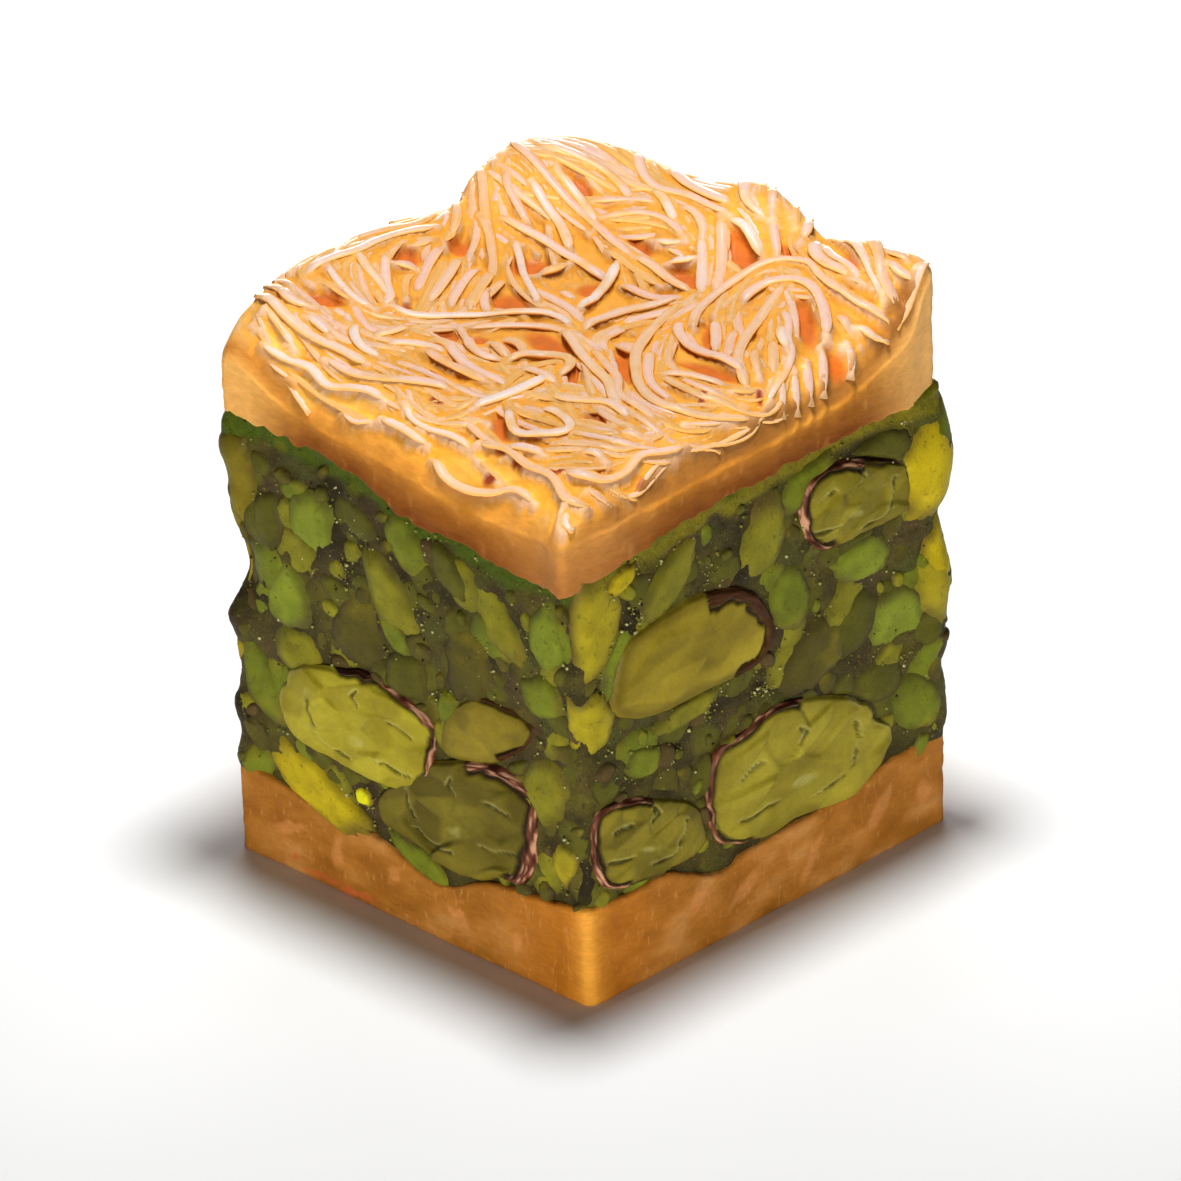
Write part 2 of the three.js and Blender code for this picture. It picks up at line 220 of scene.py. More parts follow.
def lid_top(x, y):
    front = round_over(*LID_FRONT_ROUND, HALF + y)
    right = round_over(*LID_RIGHT_ROUND, HALF - x)
    return (
        raised(LID_CROWN, LID_CROWN_SWELLS, x, y)
        - (front**ROUND_BLEND + right**ROUND_BLEND) ** (1 / ROUND_BLEND)
        - round_over(*LID_BACK_ROUND, HALF - y)
        - round_over(*LID_LEFT_ROUND, HALF + x)
    )


def lean(points):
    """Moves points of the true prism to where the leaning block has them."""
    right = (points[..., 0] + HALF) / SIDE
    back = (points[..., 1] + HALF) / SIDE
    up = points[..., 2] / BLOCK_HEIGHT
    shares = {
        "west": (1 - right) * (1 - back),
        "south": right * (1 - back),
        "east": right * back,
        "north": (1 - right) * back,
    }
    moved = points.copy()
    for corner, share in shares.items():
        foot, head = LEAN[corner]
        for axis in range(2):
            moved[..., axis] += share * (foot[axis] + (head[axis] - foot[axis]) * up)
    return moved


def on_side(side, along, height, out):
    """Points on a side, counted by quarter turns from the front; out is past the cut face.

    What reaches past the side's end bends round the block's corner onto the next side.
    """
    start = HALF - CORNER_BEND
    beyond = np.clip(np.abs(along) - start, 0, None)
    turn = np.minimum(beyond / CORNER_BEND, math.pi / 2)
    reach = np.maximum(CORNER_BEND + out, 0.1)
    x = np.minimum(np.abs(along), start) + reach * np.sin(turn)
    y = beyond - turn * CORNER_BEND - start - reach * np.cos(turn)
    x = np.sign(along) * x
    for _ in range(side):
        x, y = -y, x
    return np.stack(np.broadcast_arrays(x, y, height), axis=-1).astype(float)


# ---- Meshes ---------------------------------------------------------------------------


def ring_faces(rings, columns):
    """Quads between closed rings, and a fan to a pole at either end."""
    ring = np.arange(rings - 1)[:, None] * columns
    column = np.arange(columns)[None]
    beside = (column + 1) % columns
    low, low_next = ring + column + 1, ring + beside + 1
    quads = np.stack([low, low_next, low_next + columns, low + columns], -1).reshape(-1, 4)
    first, last = 0, rings * columns + 1
    start = last - columns
    fans = [(first, int(b) + 1, int(a) + 1) for a, b in zip(column[0], beside[0])]
    fans += [(last, start + int(a), start + int(b)) for a, b in zip(column[0], beside[0])]
    return quads, np.array(fans)


def signed_volume(vertices, quads):
    a, b, c, d = (vertices[quads[:, k]] for k in range(4))
    return np.sum(np.cross(a, b) * c) + np.sum(np.cross(a, c) * d)


class Pieces:
    """Closed bodies gathered into one mesh, with a colour at every vertex."""

    def __init__(self):
        self.vertices, self.paint, self.quads, self.fans = [], [], [], []
        self.count = 0
        self.known = {}

    def add(self, pole_a, rings, pole_b, colours, light=1.0):
        """Adds a body of rings (M, N, 3) with the colours that its vertices are to show.

        Light is how brightly the place is lit; what lies in more light gets deeper paint.
        """
        shape = rings.shape[:2]
        if shape not in self.known:
            self.known[shape] = ring_faces(*shape)
        quads, fans = self.known[shape]
        vertices = np.vstack([pole_a, rings.reshape(-1, 3), pole_b])
        if signed_volume(vertices, quads) < 0:
            quads, fans = quads[:, ::-1], fans[:, ::-1]
        paint = linear(colours) / np.asarray(light)[..., None]
        paint = np.broadcast_to(paint, rings.shape)
        self.vertices.append(vertices)
        self.paint.append(paint[0].mean(axis=0)[None])
        self.paint.append(paint.reshape(-1, 3))
        self.paint.append(paint[-1].mean(axis=0)[None])
        self.quads.append(quads + self.count)
        self.fans.append(fans + self.count)
        self.count += len(vertices)

    def make(self, name, material, slot, node):
        """The mesh of all bodies, which stands for a node of the frame."""
        vertices = lean(np.vstack(self.vertices))
        quads, fans = np.vstack(self.quads), np.vstack(self.fans)
        mesh = bpy.data.meshes.new(name)
        mesh.vertices.add(len(vertices))
        mesh.vertices.foreach_set("co", (vertices * MM).ravel())
        corners = np.concatenate([quads.ravel(), fans.ravel()])
        starts = np.concatenate(
            [np.arange(len(quads)) * 4, len(quads) * 4 + np.arange(len(fans)) * 3]
        )
        mesh.loops.add(len(corners))
        mesh.loops.foreach_set("vertex_index", corners.astype(np.int32))
        mesh.polygons.add(len(starts))
        mesh.polygons.foreach_set("loop_start", starts.astype(np.int32))
        mesh.update(calc_edges=True)
        mesh.shade_smooth()
        shown = mesh.color_attributes.new("Colour", "FLOAT_COLOR", "POINT")
        rgba = np.ones((len(vertices), 4), np.float32)
        rgba[:, :3] = np.vstack(self.paint)
        shown.data.foreach_set("color", rgba.ravel())
        mesh.materials.append(material)
        piece = bpy.data.objects.new(name, mesh)
        bpy.context.collection.objects.link(piece)
        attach(piece, "root")
        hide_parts(node)


# ---- Layers ---------------------------------------------------------------------------

Outline = namedtuple("Outline", "x y out_x out_y side along")


def square_outline(half, step):
    """Points round the square with its rounded corners, anticlockwise from the front."""
    flat = half - CORNER_RADIUS
    straight = np.linspace(-flat, flat, round(2 * flat / step), endpoint=False)
    turns = max(4, round(CORNER_RADIUS * math.pi / 2 / step))
    angles = np.linspace(-math.pi / 2, 0, turns, endpoint=False)
    x = np.concatenate([straight, flat + CORNER_RADIUS * np.cos(angles)])
    y = np.concatenate([np.full(len(straight), -half), -flat + CORNER_RADIUS * np.sin(angles)])
    out_x = np.concatenate([np.zeros(len(straight)), np.cos(angles)])
    out_y = np.concatenate([np.full(len(straight), -1.0), np.sin(angles)])
    sides = []
    for side in range(4):
        along = np.concatenate([straight, flat + CORNER_RADIUS * np.sin(angles + math.pi / 2)])
        sides.append((x, y, out_x, out_y, np.full(len(x), side), along))
        x, y, out_x, out_y = -y, x, -out_y, out_x
    return Outline(*(np.concatenate(part) for part in zip(*sides)))


def slab(*, floor, top, inset, step, rows, crest, cap_rings, relief):
    """Rings of a layer between two surfaces: its bottom, its cut sides, then its top.

    Crest is the radius by which its upper edge is rounded. Returns the rings, the share of
    the height from the floor for each ring, for each point how far the side has bent over
    towards the top there, and the outline.
    """
    outline = square_outline(HALF - inset, step)
    up = np.linspace(0, 1, rows)[:, None]
    low = floor(outline.x, outline.y)
    high = top(outline.x, outline.y)
    z = low + (high - low) * up
    bend = np.clip(1 - (high - z) / crest, 0, 1)
    inward = crest * (1 - np.sqrt(1 - bend**2))
    x = outline.x - outline.out_x * inward
    y = outline.y - outline.out_y * inward
    z = z + (top(x, y) - high) * bend**2
    wall = np.stack([x, y, z], axis=-1)
    push = relief(wall)
    wall[..., 0] += outline.out_x * push
    wall[..., 1] += outline.out_y * push

    def cap(edge, surface, shrink):
        flat = edge[None, :, :2] * shrink[:, None, None]
        return np.dstack([flat, surface(flat[..., 0], flat[..., 1])])

    bottom = cap(wall[0], floor, np.array([0.05, 0.5, 0.9]))
    crown = cap(wall[-1], top, np.linspace(1, 0, cap_rings, endpoint=False)[1:])
    rings = np.concatenate([bottom, wall, crown])
    shares = np.concatenate(
        [np.zeros(len(bottom)), np.linspace(0, 1, rows), np.ones(len(crown))]
    )
    bends = np.concatenate([np.zeros(bottom.shape[:2]), bend, np.ones(crown.shape[:2])])
    return rings, shares, bends, outline


def layer(rings, floor, top, colours, light=1.0):
    """A layer's body, closed at the middle of its floor and of its top."""
    centre = np.zeros(1)
    pole_a = [0, 0, float(floor(centre, centre)[0])]
    pole_b = [0, 0, float(top(centre, centre)[0])]
    pieces = Pieces()
    pieces.add(pole_a, rings, pole_b, colours, light)
    return pieces


# ---- Materials ------------------------------------------------------------------------


class Nodes:
    """A material's nodes, made and linked in short calls."""

    def __init__(self, name):
        self.material = bpy.data.materials.new(name)
        self.material.use_nodes = True
        self.tree = self.material.node_tree
        self.tree.nodes.clear()

    def new(self, kind, settings=None, **inputs):
        node = self.tree.nodes.new("ShaderNode" + kind)
        for key, value in (settings or {}).items():
            setattr(node, key, value)
        for key, value in inputs.items():
            self.put(node, key.replace("_", " "), value)
        return node

    def put(self, node, key, value):
        socket = node.inputs[key]
        if isinstance(value, bpy.types.NodeSocket):
            self.tree.links.new(value, socket)
        else:
            socket.default_value = value

    def noise(self, size_mm, detail, stretch):
        """Noise with grains of about this size; stretch is the mapping scale for each axis."""
        place = self.new("TexCoord").outputs["Object"]
        if stretch:
            place = self.new("Mapping", Vector=place, Scale=stretch).outputs["Vector"]
        grain = self.new("TexNoise", Vector=place, Scale=1 / (size_mm * MM), Detail=detail)
        return grain.outputs["Fac"]

    def span(self, value, low, high, to_low, to_high):
        node = self.new("MapRange", {"clamp": True}, Value=value)
        for key, number in zip(
            ("From Min", "From Max", "To Min", "To Max"), (low, high, to_low, to_high)
        ):
            node.inputs[key].default_value = number
        return node.outputs["Result"]

    def blend(self, kind, share, first, second):
        node = self.new("Mix", {"data_type": "RGBA", "blend_type": kind})
        self.put(node, "Factor", share)
        for key, value in ((6, first), (7, second)):
            if isinstance(value, bpy.types.NodeSocket):
                self.tree.links.new(value, node.inputs[key])
            else:
                node.inputs[key].default_value = value
        return node.outputs[2]

    def bump(self, height, depth_mm, normal):
        node = self.new("Bump", Height=height, Distance=depth_mm * MM)
        if normal is not None:
            self.put(node, "Normal", normal)
        return node.outputs["Normal"]


GRAIN_SPAN = (0.3, 0.7)  # part of the noise between a grain's darkest and lightest place
COAT_ROUGHNESS = 0.2


def food(name, *, grains, flecks=(), roughness, shine, gloss, soft, soft_radius):
    """A food surface: vertex colours with grain, flecks and fine bumps.

    grains: (size, darkest, lightest, bump depth, stretch) for each grain of the surface.
    flecks: (size, from, to, colour, strength, stretch) for each kind of speck.
    """
    n = Nodes(name)
    colour = n.new("Attribute", {"attribute_name": "Colour"}).outputs["Color"]
    normal = None
    rough = None
    for size, dark, light, depth, stretch in grains:
        grain = n.noise(size, 3.0, stretch)
        shade = n.span(grain, *GRAIN_SPAN, dark, light)
        grey = n.new("CombineColor", Red=shade, Green=shade, Blue=shade).outputs["Color"]
        colour = n.blend("MULTIPLY", 1.0, colour, grey)
        normal = n.bump(grain, depth, normal)
        rough = rough or n.span(grain, *GRAIN_SPAN, *roughness)
    for size, start, end, tint, strength, stretch in flecks:
        share = n.span(n.noise(size, 2.0, stretch), start, end, 0.0, strength)
        colour = n.blend("MIX", share, colour, (*linear(tint), 1.0))
    shader = n.new("BsdfPrincipled")
    n.put(shader, "Base Color", colour)
    n.put(shader, "Roughness", rough)
    n.put(shader, "Normal", normal)
    shader.inputs["Specular IOR Level"].default_value = shine
    shader.inputs["Coat Weight"].default_value = gloss
    shader.inputs["Coat Roughness"].default_value = COAT_ROUGHNESS
    shader.inputs["Subsurface Weight"].default_value = soft
    shader.inputs["Subsurface Radius"].default_value = soft_radius
    shader.inputs["Subsurface Scale"].default_value = MM
    n.new("OutputMaterial", Surface=shader.outputs["BSDF"])
    return n.material


BAKED = food(
    "baked_pastry",
    grains=(
        (0.32, 0.90, 1.09, 0.05, (0.4, 0.4, 1.3)),
        (1.5, 0.94, 1.06, 0.10, (0.6, 0.6, 1.0)),
        (0.11, 0.95, 1.05, 0.02, None),
    ),
    flecks=((0.4, 0.60, 0.74, (212, 148, 82), 0.4, (1.2, 1.2, 0.4)),),
    roughness=(0.55, 0.75),
    shine=0.07,
    gloss=0.02,
    soft=0.1,
    soft_radius=(0.8, 0.4, 0.15),
)
LID = food(
    "lid_pastry",
    grains=(
        (0.34, 0.92, 1.07, 0.04, (0.5, 0.5, 1.3)),
        (1.3, 0.95, 1.05, 0.06, None),
        (0.12, 0.96, 1.04, 0.015, None),
    ),
    roughness=(0.45, 0.65),
    shine=0.07,
    gloss=0.03,
    soft=0.15,
    soft_radius=(0.8, 0.45, 0.15),
)
THREAD = food(
    "glazed_threads",
    grains=((0.5, 0.95, 1.04, 0.03, None), (0.15, 0.98, 1.02, 0.01, None)),
    roughness=(0.35, 0.5),
    shine=0.12,
    gloss=0.06,
    soft=0.1,
    soft_radius=(0.4, 0.25, 0.12),
)
PASTE = food(
    "nut_paste",
    grains=((0.5, 0.85, 1.12, 0.12, None), (0.16, 0.9, 1.1, 0.06, None)),
    flecks=(
        (0.2, 0.66, 0.74, (140, 138, 70), 0.6, None),
        (0.3, 0.62, 0.72, (44, 35, 18), 0.7, None),
    ),
    roughness=(0.4, 0.65),
    shine=0.05,
    gloss=0.02,
    soft=0.1,
    soft_radius=(0.6, 0.7, 0.2),
)
NUT = food(
    "chopped_pistachio",
    grains=((0.9, 0.93, 1.07, 0.06, None), (0.2, 0.94, 1.06, 0.025, None)),
    flecks=(
        (0.17, 0.72, 0.78, (178, 176, 92), 0.5, None),
        (0.45, 0.58, 0.74, (60, 54, 20), 0.45, None),
    ),
    roughness=(0.4, 0.6),
    shine=0.05,
    gloss=0.02,
    soft=0.15,
    soft_radius=(0.6, 0.8, 0.2),
)
KERNEL = food(
    "pistachio_kernel",
    grains=((0.7, 0.93, 1.07, 0.05, None), (0.18, 0.94, 1.06, 0.025, None)),
    flecks=((0.2, 0.73, 0.8, (196, 188, 112), 0.4, None),),
    roughness=(0.38, 0.58),
    shine=0.05,
    gloss=0.03,
    soft=0.12,
    soft_radius=(0.8, 0.8, 0.25),
)

# ---- Pastry layers --------------------------------------------------------------------

BASE_STEP = 0.24
BASE_ROWS = 30
BASE_CREST = 0.2
LID_STEP = 0.24
LID_ROWS = 34
LID_CREST = 0.5
LID_CAP_RINGS = 108
PASTRY_BROAD = 5.0  # sizes of the pressed pastry's bumps
PASTRY_FINE = (1.6, 1.6, 0.7)
FINE_SHARE = 0.6
BASE_RELIEF = 0.14
BASE_RAGGED = 0.2  # height of the ragged line between the base and the filling
LID_RELIEF = 0.12
LID_RAGGED = 0.45  # and between the filling and the lid
TOP_LIGHT = 2.25  # how much more light the top gets than the sides

BASE_STOPS = (
    (0.0, (148, 90, 26)),
    (0.4, (164, 104, 34)),
    (0.7, (176, 114, 46)),
    (1.0, (190, 132, 66)),
)
BASE_GRAIN = (3.0, 3.0, 1.8)
BASE_CONTRAST = 0.9
# Painted light growing towards the base's front corner, up to a painted highlight streak down
# its edge: where each tone fades in, where it is full, and its share.
BASE_CORNER_LIGHT = (
    ((182, 106, 24), 10.0, 3.0, 0.55),
    ((206, 132, 38), 3.0, 0.9, 0.7),
    ((230, 160, 58), 1.5, 0.4, 0.7),
)
PATCH_SHARE = 0.6
BASE_PALE = (206, 138, 78)
BASE_RED = (206, 96, 52)
# Patches on the base's two shown sides: side, place along it, height, half sizes, turn.
BASE_PALE_PATCHES = (
    (0, -1.8, 3.6, 0.9, 0.5, 60),
    (0, -12.6, 3.4, 1.6, 0.4, 20),
    (0, 4.8, 2.6, 1.2, 0.4, -30),
    (0, -7.6, 3.2, 1.3, 0.5, 80),
    (0, 10.6, 2.8, 1.0, 0.4, 70),
    (1, -7.0, 4.4, 1.0, 0.6, 70),
    (1, -2.4, 3.0, 1.5, 0.5, 30),
    (1, 4.2, 2.6, 1.4, 0.4, 60),
    (1, 11.0, 3.8, 1.6, 0.6, 50),
    (1, 15.4, 3.4, 0.9, 0.7, 80),
)
BASE_RED_PATCHES = (
    (0, -9.4, 0.6, 1.8, 0.3, 4),
    (0, -5.6, 0.5, 1.6, 0.25, 2),
    (0, -12.0, 1.4, 0.5, 0.2, 60),
)
LID_SIDE_STOPS = (
    (0.0, (124, 62, 10)),
    (0.12, (128, 68, 12)),
    (0.30, (142, 80, 16)),
    (0.55, (156, 92, 24)),
    (0.78, (184, 115, 34)),
    (0.90, (206, 133, 46)),
    (1.0, (240, 164, 62)),
)
LID_WANDER = 0.13  # how far, in shares of its height, the tones of a side move up and down
LID_PALE = (214, 150, 88)
LID_PALE_SHARE = 0.4
CORNER_REACH = (10.0, 1.6)  # from where to where the side's tone changes to a corner's
CORNER_SHARE = 0.9
TIP_SHARE = 0.6
LID_CORNER = (251, 186, 98)
LID_CORNER_RIGHT = (252, 192, 112)
LID_TIP = (200, 138, 76)
LID_STEEP_LEFT = (206, 132, 52)
LID_STEEP_RIGHT = (160, 102, 44)
STEEP = (1.05, 1.5)  # slopes over which the glaze gives way to the baked side
THREAD_STEEP = 1.42  # and the slope on which no loose thread lies
GLAZE_LIGHT = (252, 188, 84)
GLAZE_DEEP = (251, 168, 50)
TANGLE_ORANGE = (250, 168, 56)
TANGLE_SHARE = 0.6
GLAZE_PEACH = (252, 206, 176)
PEACH_SHARE = 0.85
RIDGE_HEIGHTS = (-0.04, 0.12)  # heights over which the glaze turns peach
# the lid's deeper orange in the hollows, with painted shade of the hollow in it
HOLLOW_ORANGE_AND_SHADE = (224, 116, 38)
SPECK_RED = (166, 70, 38)


def pastry_relief(depth, seed):
    """The bumps of pressed pastry, as how far they push a cut side out."""

    def relief(wall):
        fine = fractal(wall, PASTRY_FINE, 3, seed + 5)
        broad = fractal(wall, PASTRY_BROAD, 2, seed)
        return depth * (broad + FINE_SHARE * fine)

    return relief


def base_floor(x, y):
    return np.zeros(np.broadcast(x, y).shape)


def ragged_base_top(x, y):
    return base_top(x, y) + BASE_RAGGED * fractal(flat_points(x, y), 0.9, 3, 31)


def spread(values, rings):
    """A value for each point round a layer, on all of its rings."""
    return np.broadcast_to(values, rings.shape[:2])


def bottom_pastry():
    rings, _, _, outline = slab(
        floor=base_floor,
        top=ragged_base_top,
        inset=0,
        step=BASE_STEP,
        rows=BASE_ROWS,
        crest=BASE_CREST,
        cap_rings=8,
        relief=pastry_relief(BASE_RELIEF, 3),
    )
    colours = ramp(0.5 + BASE_CONTRAST * fractal(rings, BASE_GRAIN, 4, 12), BASE_STOPS)
    to_front = np.hypot(outline.x - HALF, outline.y + HALF)
    # painted light and a painted highlight streak towards the front corner
    for tone, start, full, share in BASE_CORNER_LIGHT:
        colours = mix(colours, tone, spread(smooth(start, full, to_front), rings) * share)
    ragged = 0.5 * fractal(rings, 0.8, 2, 33)
    for tone, patches in ((BASE_PALE, BASE_PALE_PATCHES), (BASE_RED, BASE_RED_PATCHES)):
        for side, along, height, *shape in patches:
            place = outline.along + ragged
            share = patch(place, rings[..., 2] + ragged, along, height, *shape)
            colours = mix(colours, tone, share * (outline.side == side) * PATCH_SHARE)
    pieces = layer(rings, base_floor, ragged_base_top, colours)
    pieces.make("pressed_base", BAKED, "baked_base", "bottom_pastry")


def flat_points(x, y):
    x, y = np.broadcast_arrays(x, y)
    return np.stack([x, y, np.zeros(x.shape)], axis=-1)


# Places where no thread lies and the deep orange of the lid shows, darkened further with
# painted shade: centre, half sizes, turn.
Hollow = namedtuple("Hollow", "x y long wide turn")
HOLLOWS = (
    Hollow(3.6, 12.8, 1.5, 0.8, -20),
    Hollow(2.0, 9.1, 1.4, 0.6, -5),
    Hollow(-3.0, 9.5, 1.0, 0.5, -5),
    Hollow(-10.0, 11.3, 0.9, 0.4, -15),
    Hollow(-7.7, 3.5, 1.3, 0.9, 50),
    Hollow(-2.7, 4.4, 0.9, 0.6, 60),
    Hollow(-5.4, -0.9, 1.3, 1.0, 0),
    Hollow(0.6, -3.2, 2.0, 0.9, -10),
    Hollow(6.6, -2.1, 2.4, 0.5, -42),
    Hollow(5.0, -5.3, 1.1, 0.5, -60),
    Hollow(-0.8, -5.6, 1.0, 0.35, -20),
    Hollow(-3.5, -6.0, 0.7, 0.4, 20),
    Hollow(-1.2, -7.2, 0.9, 0.3, -20),
    Hollow(-5.2, -7.4, 0.8, 0.5, 40),
    Hollow(12.4, 9.6, 2.4, 0.6, -38),
    Hollow(8.4, 4.6, 2.2, 0.5, -42),
    Hollow(16.4, 8.4, 0.8, 0.7, 0),
    Hollow(11.5, 14.9, 1.2, 0.25, -25),
    Hollow(5.9, 14.4, 0.8, 0.3, 0),
    Hollow(5.6, -12.8, 1.3, 0.5, -35),
    Hollow(10.7, -8.6, 1.0, 0.4, 0),
    Hollow(-9.0, -7.1, 0.6, 0.4, 30),
    Hollow(-13.3, -3.0, 0.7, 1.0, 0),
    Hollow(-13.4, -11.2, 1.3, 0.5, 40),
    Hollow(-12.6, 1.6, 0.8, 0.8, 0),
    Hollow(8.0, 2.9, 1.6, 0.3, -25),
    Hollow(11.5, 1.2, 2.4, 0.5, 5),
)
# Small burnt specks: centre, length, turn.
SPECKS = (
    (11.0, 3.7, 1.5, -40),
    (16.0, 1.5, 0.8, -40),
    (13.9, -1.7, 1.3, -60),
    (14.4, -2.4, 0.8, -30),
    (13.6, -10.1, 0.7, 10),
    (16.9, -10.7, 0.8, -70),
    (7.8, -14.7, 1.3, 20),
    (9.6, -15.0, 1.2, 5),
    (12.8, -14.5, 1.1, 15),
    (7.9, -16.2, 1.1, 12),
    (0.3, -13.8, 1.1, 8),
    (-2.6, -11.4, 0.6, 20),
)
SPECK_WIDTH = 0.2
PATCH_FADE = (1.5, 0.7)  # where a patch ends and where it is full, in times its half size


def patch(x, y, centre_x, centre_y, long, wide, turn):
    """1 inside a turned oval, fading to 0 outside it."""
    across, over = turned(x - centre_x, y - centre_y, -turn)
    return smooth(*PATCH_FADE, np.hypot(across / long, over / wide))


def hollow(x, y):
    share = np.zeros(np.broadcast(x, y).shape)
    for place in HOLLOWS:
        share = np.maximum(share, patch(x, y, *place))
    return share


THREAD_DEPTH = 0.4  # how far the lid's pressed body lies below its crown under the tangle
GLAZE_DEPTH = 0.2  # and under the smooth glazed front strip, and at the cut edges
TANGLE_EDGE = (-16.4, -12.4)  # from front to back, where the glaze gives way to the tangle
EDGE_RUN = 1.5  # width over which the body comes up to the cut edges
BODY_RIPPLE = 0.15
HOLLOW_DEPTH = 0.15
GLAZE_LEVEL = -0.07  # how far the glaze lies above the levelled heights of the threads
GLAZE_REACH = 0.5  # width over which it levels out
GLAZE_BLUR = 0.16  # width over which threads show through it
GLAZE_RIDGE = 0.9  # share of a thread's height that the glaze over it takes on
VALLEY_SHADE = 0.14  # share of the light that the threads keep from the glaze between them
EDGE_SHADE = 0.05  # share that is missing where the lid rounds down to its cut faces


def tangle(x, y):
    """1 where threads lie deep, 0 on the smooth front strip and along the cut edges."""
    share = smooth(*TANGLE_EDGE, y)
    for distance in (HALF - x, HALF + x, HALF - y, HALF + y):
        share = share * smooth(0, EDGE_RUN, distance)
    return share


def body_top(x, y):
    """The pressed body of the lid, on which the threads are laid."""
    depth = GLAZE_DEPTH + (THREAD_DEPTH - GLAZE_DEPTH) * tangle(x, y)
    ripple = BODY_RIPPLE * fractal(flat_points(x, y), 1.3, 3, 44)
    return lid_top(x, y) - depth + ripple - HOLLOW_DEPTH * hollow(x, y)


def ragged_lid_floor(x, y):
    return lid_floor(x, y) + LID_RAGGED * fractal(flat_points(x, y), 1.1, 4, 71)


def top_light(slope):
    """How much more light than the sides a part of the top gets that slopes this steeply."""
    return 1 + (TOP_LIGHT - 1) / (1 + slope**2)


def top_pastry(pile):
    """The lid's body, filled up with glaze round the threads of the pile."""

    def ridges(x, y):
        return pile.level(x, y, GLAZE_BLUR) - pile.level(x, y, GLAZE_REACH)

    def core_top(x, y):
        level = pile.level(x, y, GLAZE_REACH) + GLAZE_LEVEL - HOLLOW_DEPTH * hollow(x, y)
        return np.maximum(body_top(x, y), level + GLAZE_RIDGE * ridges(x, y))

    rings, shares, bends, outline = slab(
        floor=ragged_lid_floor,
        top=core_top,
        inset=0,
        step=LID_STEP,
        rows=LID_ROWS,
        crest=LID_CREST,
        cap_rings=LID_CAP_RINGS,
        relief=pastry_relief(LID_RELIEF, 6),
    )
    x, y = rings[..., 0], rings[..., 1]
    wander = LID_WANDER * fractal(rings, (2.2, 2.2, 1.2), 4, 14)
    side = ramp(np.clip(shares[:, None] + wander, 0, 1), LID_SIDE_STOPS)
    streaks = smooth(0.15, 0.6, fractal(rings, (0.7, 0.7, 1.5), 3, 27))
    side = mix(side, LID_PALE, streaks * LID_PALE_SHARE)
    to_corner = np.hypot(np.abs(outline.x) - HALF, np.abs(outline.y) - HALF)
    corner = smooth(*CORNER_REACH, to_corner)
    front = (outline.x > 0) & (outline.y < 0)
    tone = mix(LID_CORNER, LID_CORNER_RIGHT, spread((outline.x > 0).astype(float), rings))
    side = mix(side, tone, spread(corner * CORNER_SHARE * ~front, rings))
    side = mix(side, LID_TIP, spread(corner * TIP_SHARE * front, rings))
    crown = mix(GLAZE_DEEP, GLAZE_LIGHT, 0.5 + 0.9 * fractal(rings, 1.8, 3, 17))
    crown = mix(crown, TANGLE_ORANGE, tangle(x, y) * TANGLE_SHARE)
    crown = mix(crown, GLAZE_PEACH, smooth(*RIDGE_HEIGHTS, ridges(x, y)) * PEACH_SHARE)
    # the hollows' own deeper orange, darkened with painted shade
    crown = mix(crown, HOLLOW_ORANGE_AND_SHADE, hollow(x, y))
    for centre_x, centre_y, length, turn in SPECKS:
        speck = patch(x, y, centre_x, centre_y, length / 2, SPECK_WIDTH, turn)
        crown = mix(crown, SPECK_RED, speck)
    rightward = smooth(-0.3, 0.3, x + y)
    slope = steepness(lid_top, x, y)
    steep = smooth(*STEEP, slope + 0.15 * fractal(rings, 1.5, 3, 19))
    front_edge = steep * smooth(1.0, 3.0, HALF - y)
    crown = mix(crown, mix(LID_STEEP_LEFT, LID_STEEP_RIGHT, rightward), front_edge)
    colours = mix(side, crown, smooth(0.5, 1.0, bends))
    shade = VALLEY_SHADE * smooth(0.04, -0.08, ridges(x, y))
    shade = shade + EDGE_SHADE * smooth(0.3, 0.9, slope)
    light = 1 + (top_light(slope) * (1 - shade) - 1) * bends
    for side_x, side_y, move in TIPS:
        tip = smooth(TIP_WIDTH, 0.3, np.hypot(x - side_x * HALF, y - side_y * HALF))
        rings = rings + move * np.stack([tip, tip, tip * (1 - bends)], axis=-1)
    pieces = layer(rings, ragged_lid_floor, core_top, colours, light)
    pieces.make("lid_core", LID, "glazed_threads", "top_pastry")


# ---- Threads --------------------------------------------------------------------------

THREAD_STEP = 0.42
THREAD_SIDES = 8
THREAD_WIDTHS = (0.5, 0.82)
TOP_THREAD_WIDTHS = (0.62, 0.92)
THREAD_FLATNESS = 0.5
BUNDLES = 290
BUNDLE_SPACING = 0.72
FREE_EDGE = HALF - 0.2  # threads are cut off here with the block
PILE_CELL = 0.12
GRAIN_REACH = 1.5  # how far off the top threads still turn the ones under them
PATH_STRAY = 0.3  # spread of a path's turn off the grain
PATH_BEND = 0.03  # and of how much it bends at each step
PATH_FOLLOW = 0.5
PATH_STEP = 0.9
PATH_STEPS = (6, 20)
BUNDLE_THREADS = (1, 5)
SHORTEST = 6  # steps of the shortest thread that is laid
FRONT_BARE = 0.85  # share of the threads that is left out on the smooth front strip
THREAD_SWELL = 0.16
THREAD_SUNK = 0.45  # share of a thread's thickness that is sunk in the pile
FRONT_SUNK = 0.2  # and more of it on the front strip
END_DROP = 0.3  # how far a free end dips
UNDER_LIMIT = (-0.25, 0.1)  # the highest that middles of threads may lie over the crown
TOP_LIMIT = 0.25
PILE_RADIUS = 0.38
PILE_RISE = 0.2  # height of a laid thread over its middle line

